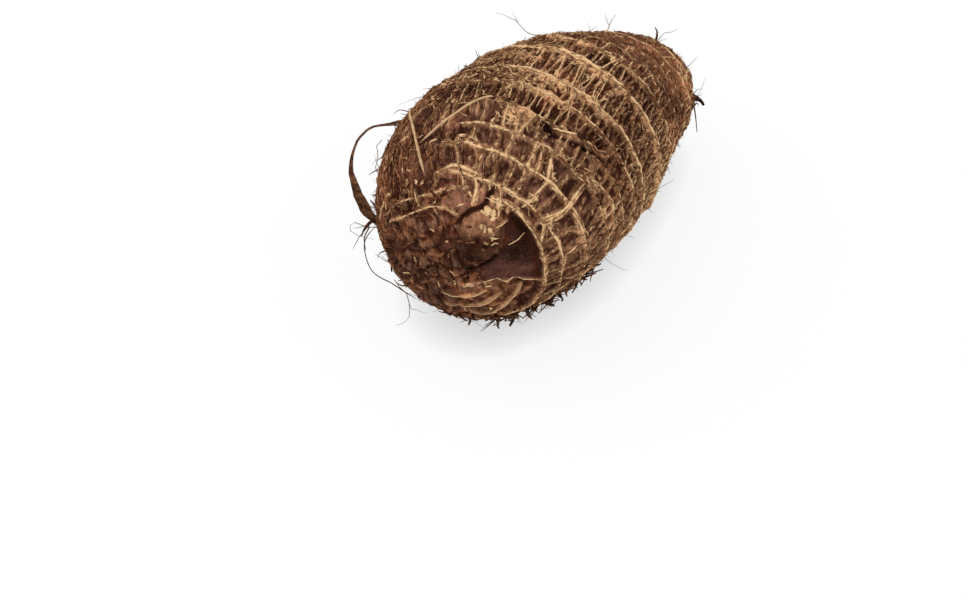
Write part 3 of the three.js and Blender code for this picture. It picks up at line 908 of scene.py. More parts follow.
# %% Add the relief up
smoothness = bald + 0.8 * bud_lit_top + 0.3 * bud_shaded_low + 0.6 * smooth_low + 0.5 * pale_scar
smoothness = np.clip(smoothness, 0, 1)
relief = 0.5 * lumps + 0.2 * knots
relief += LEDGE_HEIGHT * ledge * (1 - 0.5 * shaggy)
relief += (1 - smoothness) * (0.26 * wrinkle + 0.13 * fuzz) + 0.3 * tanned + 0.3 * tanned * scraps
relief += 0.45 * swell * (1 - 0.5 * shaggy) + 0.15 * fine_net - 0.55 * hole * (1 - tanned)
clod_gaps *= 1 - smoothness
crumbs = 1.3 * np.clip(clods, 0, 0.5) + 0.9 * knots + 0.5 * crumb_tone - 0.4
relief += crown_face * (1 - smoothness) * crumbs
relief += 1.15 * bud * crown_side - 0.4 * bald * (1 + 0.5 * bald_pits * scraps)
relief -= 1.4 * crease + 1.5 * crack + 1.0 * long_crack + 1.0 * np.clip(pits, 0, 1)
relief += 0.75 * old_scars - 0.3 * pale_scar
FLAT_BOTTOM = corm_low[2]
skin_grid = base_grid + normal_grid * (relief * MM)[..., None]
skin_grid[0] = skin_grid[0].mean(axis=0)
skin_grid[-1] = skin_grid[-1].mean(axis=0)
skin_grid[..., 2] = np.maximum(skin_grid[..., 2], FLAT_BOTTOM)
print("relief runs from", relief.min().round(2), "to", relief.max().round(2), "mm")


def on_skin(length, degrees, lift=0.0):
    """Points in metres at a height in mm over the finished skin, and the skin's normals there."""
    normal = look_up(normal_grid, length, degrees)
    normal = normal / np.linalg.norm(normal, axis=-1, keepdims=True)
    lift = np.broadcast_to(lift, normal.shape[:-1])
    return look_up(skin_grid, length, degrees) + normal * lift[..., None] * MM, normal


# %% [markdown]
# ## The skin's mesh
#
# A pole-to-pole line is spun round once, as on a lathe, which gives an even net of four-sided faces
# with closed poles. Then each point of the net moves to its place on the grid. The net's rows and
# columns are also its UV map, so anything painted lengthwise follows the bend of the corm.

# %% Spin the skin
UV_NAME = "OFBake"
bm = bmesh.new()
meridian = []
for row in range(ROWS + 1):
    on_axis = row in (0, ROWS)
    meridian.append(bm.verts.new((0 if on_axis else 1, 0, row / ROWS)))
for start, end in zip(meridian, meridian[1:]):
    bm.edges.new((start, end))
bmesh.ops.spin(
    bm, geom=bm.verts[:] + bm.edges[:], cent=(0, 0, 0), axis=(0, 0, 1), dvec=(0, 0, 0),
    angle=2 * math.pi, steps=COLUMNS, use_merge=True, use_duplicate=False,
)
bmesh.ops.remove_doubles(bm, verts=bm.verts[:], dist=1e-5)
for face in bm.faces:
    face.smooth = True
skin_mesh = bpy.data.meshes.new("corm_skin")
bm.to_mesh(skin_mesh)
bm.free()
print("skin mesh has", len(skin_mesh.polygons), "faces")

# %% Move the net onto the relief
corners = np.empty(len(skin_mesh.vertices) * 3)
skin_mesh.vertices.foreach_get("co", corners)
spun = corners.reshape(-1, 3)
net_row = np.rint(spun[:, 2] * ROWS).astype(int)
net_column = np.rint(np.arctan2(spun[:, 1], spun[:, 0]) / (2 * np.pi) * COLUMNS).astype(int) % COLUMNS
skin_mesh.vertices.foreach_set("co", skin_grid[net_row, net_column].ravel())

# %% UV map of the skin
loop_vertex = np.empty(len(skin_mesh.loops), int)
skin_mesh.loops.foreach_get("vertex_index", loop_vertex)
loop_total = np.empty(len(skin_mesh.polygons), int)
skin_mesh.polygons.foreach_get("loop_total", loop_total)
loop_face = np.repeat(np.arange(len(skin_mesh.polygons)), loop_total)
loop_u = net_column[loop_vertex] / COLUMNS
loop_v = net_row[loop_vertex] / ROWS
on_pole = (net_row[loop_vertex] == 0) | (net_row[loop_vertex] == ROWS)
face_high = np.zeros(len(skin_mesh.polygons))
np.maximum.at(face_high, loop_face, np.where(on_pole, 0, loop_u))
past_seam = (face_high[loop_face] > 0.75) & (loop_u < 0.25) & ~on_pole
loop_u = np.where(past_seam, loop_u + 1, loop_u)
face_sum = np.zeros(len(skin_mesh.polygons))
np.add.at(face_sum, loop_face, np.where(on_pole, 0, loop_u))
face_count = np.zeros(len(skin_mesh.polygons))
np.add.at(face_count, loop_face, ~on_pole)
loop_u = np.where(on_pole, (face_sum / face_count)[loop_face], loop_u)
skin_uv = skin_mesh.uv_layers.new(name=UV_NAME)
skin_uv.data.foreach_set("uv", np.stack([loop_u, 1 - loop_v], axis=-1).ravel())


# %% Numbers a material can read
def float_attribute(mesh, name, values):
    """Stores one number a point, for a material to read."""
    attribute = mesh.attributes.new(name, "FLOAT", "POINT")
    attribute.data.foreach_set("value", np.asarray(values, np.float32).ravel())


def spread(values, reach):
    """Values averaged over the grid at a reach, to tell hollows from ridges."""
    padded = np.pad(values, ((reach, reach), (0, 0)), "edge")
    total = sum(np.roll(padded, step, 0)[reach:-reach] for step in (-reach, reach))
    return (total + sum(np.roll(values, step, 1) for step in (-reach, reach))) / 4


# %% What the skin's material reads
# Painted shade: the bark is coloured darker in the hollows of its relief, where shade falls.
hollow_shade = relief - 0.5 * spread(relief, 2) - 0.5 * spread(relief, 5)
straight = skin_mesh.attributes.new("straight", "FLOAT_VECTOR", "POINT")
straight_grid = straightened(length_grid, slanted_angle) * MM
straight.data.foreach_set("vector", straight_grid[net_row, net_column].astype(np.float32).ravel())
SKIN_MASKS = {
    "web": np.clip(web * (1 - 0.6 * shaggy) * (1 - 0.5 * tail), 0, 1),
    "hollow_shade": hollow_shade,
    "smooth_cell": past(26, 29, 12 * beside(88, 30)) * (1 - past(46, 54, 2 * knots)) * (1 - shaggy),
    "bald": bald,
    "bald_pits": bald_pits,
    # painted light and shade: the bud's lit top is coloured lighter; its shaded lower half, and the smooth
    # shelves low on the crown, darker
    "bud_lit_top": bud_lit_top * np.clip(0.9 + 0.5 * scraps, 0, 1),
    "bud_shaded_low": np.clip(bud_shaded_low + 0.5 * smooth_low, 0, 1),
    "scar": np.clip(old_scars, 0, 1),
    "pale_scar": pale_scar,
    "crown": crown_face * (1 - bud_lit_top),
    "crumb_tone": crumb_tone,
    "hole": hole * (1 - web) * (1 - tanned),
    "shaggy": shaggy,
    "tanned": tanned,
    "tail": tail,
    "tone_and_shade": tone_and_shade,
    # painted shade: cracks, creases, pits and the gaps between crown crumbs are coloured near black
    "dark": np.clip(crease + 1.3 * crack + long_crack + pits + 0.7 * clod_gaps, 0, 1),
}
for name, values in SKIN_MASKS.items():
    float_attribute(skin_mesh, name, values[net_row, net_column])
print("the skin carries", len(SKIN_MASKS), "masks")

# %% [markdown]
# ## Bark materials
#
# Dry taro bark is papery and dull. Its ground colour swings between purple-brown and mid brown, fine
# pale fibres run lengthwise, and the ring rims are tan. The hollows, cracks and pits are painted darker,
# as shade. One shader group turns the straightened coordinates into blotches, streaks and fibres, and
# the bark's material uses it.

# %% The dull shader that all bark shares
def dull_shader(material, colour, roughness, height, depth):
    """Plugs colour, roughness and bump into a material's dry, dull Principled shader."""
    tree = material.node_tree
    shader = tree.nodes["Principled BSDF"]
    bump = tree.nodes.new("ShaderNodeBump")
    put_all(tree, bump, Distance=depth * MM, Height=height)
    put_all(tree, shader, Base_Color=colour, Roughness=roughness)
    put_all(tree, shader, Normal=bump.outputs["Normal"], Specular_IOR_Level=0.04)


# %% Shader group: bark grain
grain_group = bpy.data.node_groups.new("bark_grain", "ShaderNodeTree")
grain_group.interface.new_socket("Vector", in_out="INPUT", socket_type="NodeSocketVector")
for name in ("Blotch", "Streak", "Fibre", "Speck", "Mottle"):
    grain_group.interface.new_socket(name, in_out="OUTPUT", socket_type="NodeSocketFloat")
group_in = grain_group.nodes.new("NodeGroupInput")
group_out = grain_group.nodes.new("NodeGroupOutput")
place = group_in.outputs["Vector"]
thread = speckle(grain_group, place, 0.8, 0.16, 2.0, 0.5, 0.8)
off_middle = calculate(grain_group, "ABSOLUTE", calculate(grain_group, "SUBTRACT", thread, 0.5))
fibre = rise(grain_group, off_middle, 0.0, 0.04, 1.0, 0.0)
put(grain_group, group_out.inputs["Fibre"], fibre)
for name, *scale in (
    # mark, features in a mm across and along, detail, roughness
    ("Blotch", 0.12, 0.1, 4.0, 0.6),
    ("Streak", 1.0, 0.18, 4.0, 0.65),
    ("Speck", 1.8, 1.3, 3.0, 0.65),
    ("Mottle", 0.5, 0.3, 4.0, 0.75),
):
    put(grain_group, group_out.inputs[name], speckle(grain_group, place, *scale))


def bark_marks(tree, vector):
    """The bark grain group, placed in a material."""
    node = tree.nodes.new("ShaderNodeGroup")
    node.node_tree = grain_group
    put(tree, node.inputs["Vector"], vector)
    return node.outputs


# %% Colours of the bark
CRACK_SHADE = (0.026, 0.009, 0.005)
DARK_BARK = (0.052, 0.013, 0.006)
HOLE_BARK = (0.105, 0.031, 0.017)
CELL_BARK = (0.238, 0.108, 0.067)
MID_BARK = (0.295, 0.116, 0.052)
TAIL_BARK = (0.270, 0.117, 0.060)
LIGHT_BARK = (0.57, 0.305, 0.150)
TAN_FIBRE = (0.86, 0.535, 0.265)
CROWN_DARK = (0.064, 0.021, 0.011)
CROWN_CRUMB = (0.215, 0.105, 0.062)
BALD_SKIN = (0.091, 0.037, 0.027)
BALD_PIT = (0.020, 0.006, 0.004)
BUD_LIT_SKIN = (0.27, 0.14, 0.078)
SCAR_SKIN = (0.27, 0.160, 0.110)

# %% Material: bark of the corm
bark = bpy.data.materials.new("bark")
bark.use_nodes = True
tree = bark.node_tree
marks = bark_marks(tree, read(tree, "straight", "Vector"))


def coat(colour, mask, over, strength=None, mark=None, steps=()):
    """Lays a colour over the bark where a mask of the skin says, broken up by a mark of the grain."""
    share = read(tree, mask)
    if mark:
        share = calculate(tree, "MULTIPLY", share, rise(tree, marks[mark], *steps))
    if strength:
        share = calculate(tree, "MULTIPLY", share, strength)
    return blend(tree, share, colour, over)


crown_colour = blend(tree, rise(tree, read(tree, "crumb_tone"), -0.25, 0.45), CROWN_DARK, CROWN_CRUMB)
bud_lit_colour = blend(tree, rise(tree, marks["Speck"], 0.3, 0.6), MID_BARK, BUD_LIT_SKIN)
bald_colour = coat(BALD_SKIN, "bald_pits", BALD_PIT, None, "Speck", (0.46, 0.62, 1.0, 0.35))
colour = blend(tree, rise(tree, marks["Streak"], 0.36, 0.64), DARK_BARK, HOLE_BARK)
colour = blend(tree, rise(tree, marks["Blotch"], 0.40, 0.68, 0.0, 0.9), colour, MID_BARK)
colour = coat(colour, "smooth_cell", CELL_BARK, None, "Mottle", (0.3, 0.55, 0.35, 1.0))
colour = blend(tree, calculate(tree, "MULTIPLY", marks["Fibre"], 0.3), colour, MID_BARK)
for layer in (
    ("tail", TAIL_BARK, None, "Streak", (0.35, 0.6, 0.35, 0.9)),
    ("crown", crown_colour, None, "Blotch", (0.42, 0.62, 0.95, 0.5)),
    ("shaggy", DARK_BARK, 0.4),
    ("hole", HOLE_BARK, 0.8),
    ("tanned", LIGHT_BARK, None, "Speck", (0.3, 0.52, 0.45, 1.0)),
    ("tanned", TAN_FIBRE, 0.75, "Mottle", (0.5, 0.66)),
    ("web", LIGHT_BARK, 0.85, "Speck", (0.32, 0.58, 0.45, 1.0)),
    # painted shade on the bud's lower half and painted light on its top
    ("bud_shaded_low", CROWN_DARK, 0.7),
    ("bud_lit_top", bud_lit_colour),
    ("bald", bald_colour),
    ("pale_scar", SCAR_SKIN, 0.85),
    ("scar", LIGHT_BARK, 0.8),
):
    colour = coat(colour, *layer)
# Painted shade: darker colour in the hollows of the relief.
colour = blend(tree, rise(tree, read(tree, "hollow_shade"), -0.28, 0.02, 0.8, 0.0), colour, DARK_BARK)
# Painted shade: cracks, creases, pits and the gaps between crumbs are coloured near black.
colour = coat(colour, "dark", CRACK_SHADE, 0.92)

# %% Mottle, tone and bump of the bark
mottle = rise(tree, marks["Mottle"], 0.34, 0.64, 0.68, 1.45)
bald_calm = calculate(tree, "MULTIPLY", read(tree, "bald"), 0.6)
bud_calm = calculate(tree, "MULTIPLY", read(tree, "bud_lit_top"), 0.4)
calm = calculate(tree, "MAXIMUM", bald_calm, bud_calm)
mottle = blend(tree, calm, mottle, (1.0, 1.0, 1.0))
colour = times(tree, colour, mottle)
colour = times(tree, colour, rise(tree, marks["Blotch"], 0.35, 0.65, 0.80, 1.25))
# The tone scales the colour in stops. It holds painted light and shade as well as the bark's own tone.
colour = times(tree, colour, calculate(tree, "POWER", 2.0, read(tree, "tone_and_shade")))
height = calculate(tree, "ADD", calculate(tree, "MULTIPLY", marks["Fibre"], 0.6), marks["Streak"])
height = calculate(tree, "ADD", height, calculate(tree, "MULTIPLY", marks["Speck"], 0.9))
height = calculate(tree, "MULTIPLY", height, rise(tree, calm, 0.0, 1.0, 1.0, 0.25))
dull_shader(bark, colour, rise(tree, marks["Speck"], 0.3, 0.7, 0.65, 0.9), height, 0.45)
print("the bark's graph has", len(tree.nodes), "nodes")


# %% Put the skin in the scene
def add_piece(name, mesh, material):
    """Links a finished mesh as a piece of the tuber."""
    mesh.materials.append(material)
    piece = bpy.data.objects.new(name, mesh)
    bpy.context.scene.collection.objects.link(piece)
    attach(piece, "root")
    return piece


corm_skin = add_piece("corm_skin", skin_mesh, bark)
cad_corners = np.array([v.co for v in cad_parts["corm"].data.vertices])
cad_faces = [tuple(p.vertices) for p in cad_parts["corm"].data.polygons]
cad_tree = BVHTree.FromPolygons(cad_corners.tolist(), cad_faces)
gaps = [cad_tree.find_nearest(Vector(p))[3] / MM for p in skin_grid[::5, ::6].reshape(-1, 3)]
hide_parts("corm")
print("the skin is at most", round(max(gaps), 2), "mm from the CAD corm")

# %% [markdown]
# ## Strands
#
# Nearly everything loose on the bark is a strand: rim fibres, rungs between the rings, shaggy leaf
# bases, scales, hairs and roots. Curves with a bevel would do, but thousands of them are slow to
# convert. So one small rod is modelled once, copied as often as needed, and every copy's cross
# sections move to their own places on the skin, with their own widths.

# %% One rod
def rod_template(sides, sections):
    """A closed rod of a few cross sections, with its sides and ends unwrapped in the unit square."""
    bm = bmesh.new()
    bmesh.ops.create_cone(
        bm, cap_ends=True, cap_tris=False, segments=sides, radius1=1, radius2=1, depth=1,
    )
    if sections > 2:
        long_edges = [e for e in bm.edges if abs(e.verts[0].co.z - e.verts[1].co.z) > 0.5]
        bmesh.ops.subdivide_edges(bm, edges=long_edges, cuts=sections - 2, use_grid_fill=True)
    uv = bm.loops.layers.uv.new(UV_NAME)
    for face in bm.faces:
        face.smooth = True
        middle = face.calc_center_median()
        middle_turn = math.atan2(middle.y, middle.x) % (2 * math.pi)
        for loop in face.loops:
            corner = loop.vert.co
            if len(face.verts) == 4 and abs(face.normal.z) < 0.5:
                turn = math.atan2(corner.y, corner.x) - middle_turn
                turn = middle_turn + (turn + math.pi) % (2 * math.pi) - math.pi
                loop[uv].uv = (0.05 + 0.9 * turn / (2 * math.pi), 0.5 + 0.8 * corner.z)
            else:
                across, along = 0.5 + 0.5 * middle.z, 0.5 + 0.93 * middle.z
                loop[uv].uv = (across + 0.03 * corner.x, along + 0.03 * corner.y)
    mesh = bpy.data.meshes.new("rod")
    bm.to_mesh(mesh)
    bm.free()
    return mesh


# %% Copies of the rod, laid along paths
def strand_mesh(name, centre, normal, half_width, half_height, sides, shade, cup=0.0):
    """Copies of a rod laid along paths. centre and normal are (strands, sections, 3); sizes are in mm."""
    count, sections = centre.shape[:2]
    rod = rod_template(sides, sections)
    flat_corners = np.empty(len(rod.vertices) * 3)
    rod.vertices.foreach_get("co", flat_corners)
    corner = flat_corners.reshape(-1, 3)
    section = np.rint((corner[:, 2] + 0.5) * (sections - 1)).astype(int)
    tangent = np.gradient(centre, axis=1)
    tangent /= np.linalg.norm(tangent, axis=-1, keepdims=True) + 1e-12
    up = normal - (normal * tangent).sum(-1, keepdims=True) * tangent
    up /= np.linalg.norm(up, axis=-1, keepdims=True) + 1e-12
    side = np.cross(up, tangent)
    shape = (count, sections)
    wide, high, bent = (np.broadcast_to(v, shape) * MM for v in (half_width, half_height, cup))
    sideways = corner[:, 0] * wide[:, section]
    upward = corner[:, 1] * high[:, section] + corner[:, 0] ** 2 * bent[:, section]
    place = centre[:, section] + sideways[..., None] * side[:, section] + upward[..., None] * up[:, section]
    place[..., 2] = np.maximum(place[..., 2], FLAT_BOTTOM)

    bm = bmesh.new()
    for _ in range(count):
        bm.from_mesh(rod)
    mesh = bpy.data.meshes.new(name)
    bm.to_mesh(mesh)
    bm.free()
    mesh.vertices.foreach_set("co", place.ravel())
    uv = mesh.uv_layers[UV_NAME]
    flat_uv = np.empty(len(mesh.loops) * 2)
    uv.data.foreach_get("uv", flat_uv)
    cells = math.ceil(math.sqrt(count))
    corner_uv = flat_uv.reshape(count, -1, 2)
    cell = np.stack([np.arange(count) % cells, np.arange(count) // cells], axis=-1)
    uv.data.foreach_set("uv", ((corner_uv + cell[:, None]) / cells).ravel())
    float_attribute(mesh, "shade", np.repeat(shade, len(corner)))
    float_attribute(mesh, "tip", np.tile(corner[:, 2] + 0.5, count))
    bpy.data.meshes.remove(rod)
    mesh.update()
    print(name, "has", count, "strands and", len(mesh.polygons), "faces")
    return mesh


# %% Pieces made of strands
def add_strands(name, material, slot, centre, normal, *sizes_and_shade):
    """A piece made of strands along paths."""
    return add_piece(name, strand_mesh(name, centre, normal, *sizes_and_shade), material)


# Strands take a share of the tone, painted light and shade included.
TONE_AND_SHADE_SHARE = 0.55


def lay(name, material, slot, length, degrees, lift, half_width, half_height, sides, shade, cup=0.0):
    """A piece of strands that lie on the skin and share its tone, with its painted light and shade."""
    middle = length.shape[1] // 2
    shade = shade + TONE_AND_SHADE_SHARE * look_up(tone_and_shade, length[:, middle], degrees[:, middle])
    path = on_skin(length, degrees, lift)
    add_strands(name, material, slot, *path, half_width, half_height, sides, shade, cup)


# %% Materials: fibres, dark shreds, roots and the dry leaf base
def strand_material(name, darkest, lightest, mottle=0.5):
    """A dry fibre whose colour is picked by the strand's shade and mottled along it."""
    material = bpy.data.materials.new(name)
    material.use_nodes = True
    tree = material.node_tree
    place = tree.nodes.new("ShaderNodeTexCoord").outputs["Object"]
    blotch = speckle(tree, place, 0.7, 0.7, 3.0, 0.6)
    fine = speckle(tree, place, 3.0, 3.0, 2.0, 0.6)
    share = calculate(tree, "ADD", read(tree, "shade"), rise(tree, blotch, 0.3, 0.7, -mottle, mottle))
    colour = blend(tree, rise(tree, share, 0.0, 1.0), darkest, lightest)
    worn = rise(tree, read(tree, "tip"), 0.9, 1.0, 0.0, 0.35)
    colour = blend(tree, worn, colour, darkest)
    dull_shader(material, colour, rise(tree, fine, 0.3, 0.7, 0.6, 0.85), fine, 0.12)
    print(name, "has", len(tree.nodes), "nodes")
    return material


tan_fibre = strand_material("tan_fibre", (0.178, 0.068, 0.030), (0.91, 0.60, 0.315))
dark_shred = strand_material("dark_shred", (0.046, 0.013, 0.006), (0.36, 0.156, 0.068))
dark_root = strand_material("dark_root", (0.018, 0.009, 0.007), (0.12, 0.06, 0.036))
pale_root = strand_material("pale_root", (0.36, 0.20, 0.10), (0.72, 0.47, 0.25), 0.3)
dry_leaf = strand_material("dry_leaf_base", (0.045, 0.018, 0.010), (0.26, 0.115, 0.048), 0.35)

# %% [markdown]
# ## Rims and rungs
#
# The strands planned before are laid into their swells. They stand only a little proud, flatter than
# they are wide, so that they read as fibres of the bark and not as wires on it.

# %% Lay the rims and the rungs
dice = np.random.default_rng(13)
raised = np.isin(ring_of, MAT_RINGS)[:, None]
rim_lift = 0.02 + 0.22 * dice.uniform(0, 1, (len(rim_length), 1)) * raised
rim_path = rim_length, rim_angle, rim_lift
lay("ring_rims", tan_fibre, "bark", *rim_path, rim_width, 0.6 * rim_width, 5, rim_shade)
arch = 0.16 * np.sin(np.pi * np.linspace(0, 1, RUNG_SECTIONS))
rung_path = rung_length, rung_turn, arch * dice.uniform(0, 1.4, (len(rung_length), 1))
lay("rungs", tan_fibre, "bark", *rung_path, rung_width, 0.6 * rung_width, 5, rung_shade)
feature_path = feature_length, feature_angle, 0.1 + feature_height
feature_sizes = feature_width, 0.55 * feature_width
lay("feature_fibres", tan_fibre, "bark", *feature_path, *feature_sizes, 6, feature_shade)

# %% Edges of the old leaf bases
ARC_SECTIONS = 16
twice = [route for route in ARC_ROUTES for _ in range(2)]
length, degrees, _ = smooth_routes(twice, ARC_SECTIONS)
count = len(length)
length += dice.normal(0, 0.16, (count, 1)) + wavy(dice, count, ARC_SECTIONS, 0.1)
width = 0.19 * dice.uniform(0.7, 1.2, (count, 1))
width = width * np.sin(np.pi * np.linspace(0.03, 0.97, ARC_SECTIONS)) ** 0.5
lay("leaf_base_edges", pale_root, "bark", length, degrees, 0.1, width, 0.7 * width, 5, 0.4)

# %% Fine fibres inside the cells
CELL_FIBRES = 1500
dice = np.random.default_rng(17)
cell_bark = past(25, 27) * (1 - past(96, 108)) * (1 - 0.8 * shaggy)
places = []
while len(places) < CELL_FIBRES:
    place = dice.uniform(25, 108), dice.uniform(0, 360)
    if dice.uniform() < look_up(cell_bark, *place):
        places.append(place)
length, degrees = np.array(places).T
count = len(length)
x = np.linspace(0, 1, 5)
size = dice.uniform(1.2, 4.2, (count, 1))
heading = 0.28 * look_up(leaning, length, degrees) + dice.normal(0, 0.16, count)
sideways = size * x * np.sin(heading)[:, None] + wavy(dice, count, 5, 0.06)
path_length = length[:, None] + size * x * np.cos(heading)[:, None]
path_degrees = degrees[:, None] + sideways * degrees_per_mm(length)[:, None]
width = dice.uniform(0.06, 0.13, (count, 1)) * np.sin(np.pi * (0.1 + 0.8 * x))
shade = np.clip(dice.normal(0.45, 0.22, count), 0, 1)
lay("cell_fibres", tan_fibre, "bark", path_length, path_degrees, 0.1, width, 0.8 * width, 3, shade)

# %% [markdown]
# ## Shreds and scales
#
# One side of the corm is shaggy with the shreds of old leaf bases, and shorter bits cling all over,
# most of all on the crown face and the tail. They are strands too, flattened, thrown over the skin by
# a density that follows the kind of bark, and lifted at their free ends.


# %% Throwing strands over the skin
def scatter(dice, count, density):
    """Lengths, angles and number of places picked evenly over the skin, thinned by a density grid."""
    length = dice.uniform(0, SKIN_LENGTH, count * 12)
    degrees = dice.uniform(0, 360, count * 12)
    evenness = body_radius(station_at(length)) / GIRTH_RADIUS
    chance = evenness * look_up(density, length, degrees)
    chosen = np.flatnonzero(dice.uniform(0, 1, len(length)) < chance)[:count]
    return length[chosen], degrees[chosen], len(chosen)


def shreds(dice, length, degrees, sections, size, turn, wave, skin_lift, tip_lift):
    """Paths of shreds that start at places, run at a turn from lengthwise, and lift at their tips."""
    x = np.linspace(0, 1, sections)
    count = len(length)
    bend = dice.normal(0, 0.5, (count, 1))
    heading = turn[:, None] + bend * x
    step = size[:, None] / (sections - 1)
    path_length = length[:, None] + np.cumsum(np.cos(heading) * step, axis=1)
    sideways = np.cumsum(np.sin(heading) * step, axis=1) + wavy(dice, count, sections, wave)
    path_degrees = degrees[:, None] + sideways * degrees_per_mm(length)[:, None]
    lift = skin_lift + tip_lift[:, None] * x**2
    return np.clip(path_length, 0.3, SKIN_LENGTH - 0.3), path_degrees, lift


# %% Shaggy leaf bases
SHRED_SECTIONS = 6
dice = np.random.default_rng(31)
top_edge = beside(122, 26) * past(40, 70)
shag_density = np.clip(shaggy + 0.4 * top_edge + 0.5 * tail + 0.07, 0, 1)
shag_density *= (1 - crown_face) * clear_of_crack
length, degrees, count = scatter(dice, 2600, shag_density)
shagginess = look_up(shaggy, length, degrees)
size = dice.uniform(2.0, 5.0, count) * (1 + 0.6 * shagginess)
turn = dice.normal(0.1, 0.35, count) + np.pi * (dice.uniform(0, 1, count) < 0.5)
turn += 0.5 * np.pi * (dice.uniform(0, 1, count) < 0.85 * look_up(tail, length, degrees))
tip_lift = dice.gamma(1.5, 0.2, count) * (0.6 + shagginess)
path = shreds(dice, length, degrees, SHRED_SECTIONS, size, turn, 0.18, 0.1, tip_lift)
x = np.linspace(0, 1, SHRED_SECTIONS)
width = dice.uniform(0.12, 0.4, (count, 1)) * (1 - 0.75 * x**2)
toned = look_up(np.clip(tanned + 0.45 * tail + 0.25 * top_edge, 0, 1), length, degrees)
golden = dice.uniform(0, 1, count) < 0.26 - 0.16 * look_up(tail, length, degrees)
shade = np.clip(0.75 * dice.beta(1.1, 2.6, count) + 0.4 * toned + 0.7 * golden, 0, 1)
lay("shag", dark_shred, "bark", *path, width, 0.45 * width, 4, shade)

# %% Tan mats and golden flecks
dice = np.random.default_rng(37)
fleck_density = 0.5 * tanned + 0.16 * tail + 0.25 * top_edge + 0.07 * belly + 0.12 * shaggy
fleck_density = np.clip(fleck_density, 0, 1) + 0.45 * ledge * (1 - shaggy) * (1 - tail)
length, degrees, count = scatter(dice, 1900, fleck_density * (1 - 0.9 * crown_face) * clear_of_crack)
on_mat, on_tail, on_ledge = (look_up(grid, length, degrees) for grid in (tanned, tail, ledge))
along_ring = dice.uniform(0, 1, count) < 0.35 + 0.45 * np.maximum(on_tail, on_ledge)
turn = 0.5 * np.pi * (along_ring | (on_mat > 0.5)) + dice.normal(0.12, 0.3, count)
size = dice.uniform(1.2, 3.4, count) * (1 + 0.4 * on_mat) * (1 - 0.3 * on_tail)
tip_lift = dice.gamma(1.4, 0.16, count)
path = shreds(dice, length, degrees, SHRED_SECTIONS, size, turn, 0.2, 0.12, tip_lift)
width = dice.uniform(0.12, 0.34, (count, 1)) * (1 - 0.7 * x**2)
shade = np.clip(dice.normal(0.42, 0.25, count) + 0.2 * on_mat - 0.16 * on_tail, 0, 1)
lay("tan_flecks", tan_fibre, "bark", *path, width, 0.6 * width, 4, shade)

# %% Crumbs and fine fibres on the crown face
dice = np.random.default_rng(41)
bare = np.clip(bald + 0.9 * bud_lit_top + 0.6 * bud_shaded_low + 0.9 * smooth_low + 0.6 * pale_scar, 0, 1)
crumb_density = np.clip(crown_face * (1 - bare) * (0.6 + knots) + 0.02, 0, 1)
length, degrees, count = scatter(dice, 620, crumb_density)
turn = dice.uniform(0, 2 * np.pi, count)
long_one = dice.uniform(0, 1, count) < 0.07
size = np.where(long_one, dice.uniform(5, 10, count), dice.uniform(0.9, 3.2, count))
tip_lift = dice.gamma(1.5, 0.2, count)
path = shreds(dice, length, degrees, SHRED_SECTIONS, size, turn, 0.25, 0.1, tip_lift)
width = np.where(long_one, 0.13, dice.uniform(0.1, 0.42, count))[:, None] * (1 - 0.6 * x**2)
shade = np.clip(0.8 * dice.beta(1.1, 3.2, count) + 0.4 * long_one, 0, 1)
lay("crown_crumbs", dark_shred, "bark", *path, width, 0.55 * width, 4, shade)

# %% [markdown]
# ## Flakes
#
# Where the papery skin tears it leaves small flat scales: a few pale ones beside the bud, and many
# little ones elsewhere. A scale is a short wide strand, cupped across and lifted at its free end.

# %% Flakes beside the bud, and scattered scales
FLAKE_SECTIONS = 7
dice = np.random.default_rng(53)
BUD_FLAKES = [
    # station, degrees, length and half width in mm, turn in radians, shade
    (.041, 64, 2.6, 0.9, 0.4, 0.95), (.043, 58, 2.6, 0.8, 0.9, 0.8), (.040, 61, 1.8, 0.6, -0.4, 1.0),
    (.045, 66, 1.6, 0.5, 1.6, 0.85), (.0267, 58, 2.2, 0.8, 0.3, 0.9), (.0285, 50, 2.4, 0.9, 0.8, 1.0),
    (.0275, 54, 1.6, 0.5, -0.5, 0.85), (.030, 47, 1.6, 0.4, 2.2, 0.8), (.0345, 45, 2.2, 0.3, 2.8, 0.75),
    (.030, 40, 2.2, 0.3, 2.4, 0.7), (.061, 63.5, 1.5, 0.5, 0.5, 1.0), (.064, 60, 1.4, 0.4, 1.5, 0.85),
    (.072, 73, 1.5, 0.4, 0.2, 0.8), (.0546, 81, 1.6, 0.4, 1.2, 0.8), (.052, 77, 1.4, 0.4, 0.5, 0.75),
    (.0158, 66, 1.2, 0.3, 0.9, 0.8), (.0131, 124, 1.4, 0.35, 0.4, 0.7), (.0027, 274, 1.2, 0.3, 0.3, 0.7),
    (.0069, 235, 1.3, 0.35, 1.5, 0.7),
]

# %% Place, size and shade of the flakes
placed = np.array(BUD_FLAKES)
flake_density = np.clip(0.35 + 0.6 * tanned + 0.4 * shaggy - bald - bud_lit_top, 0, 1)
length, degrees, count = scatter(dice, 330, clear_of_crack * flake_density)
length = np.concatenate([length_at(placed[:, 0]), length])
degrees = np.concatenate([placed[:, 1], degrees])
size = np.concatenate([placed[:, 2], dice.uniform(0.9, 2.4, count)])
wide = np.concatenate([placed[:, 3], dice.uniform(0.25, 0.6, count)])
turn = np.concatenate([placed[:, 4], dice.uniform(0, 2 * np.pi, count)])
pale = look_up(np.clip(tanned + 0.3 * tail, 0, 1), length[-count:], degrees[-count:])
shade = np.clip(dice.beta(1.2, 2.0, count) * 0.8 + 0.3 * pale, 0, 1)
shade = np.concatenate([placed[:, 5] - 0.25, shade])

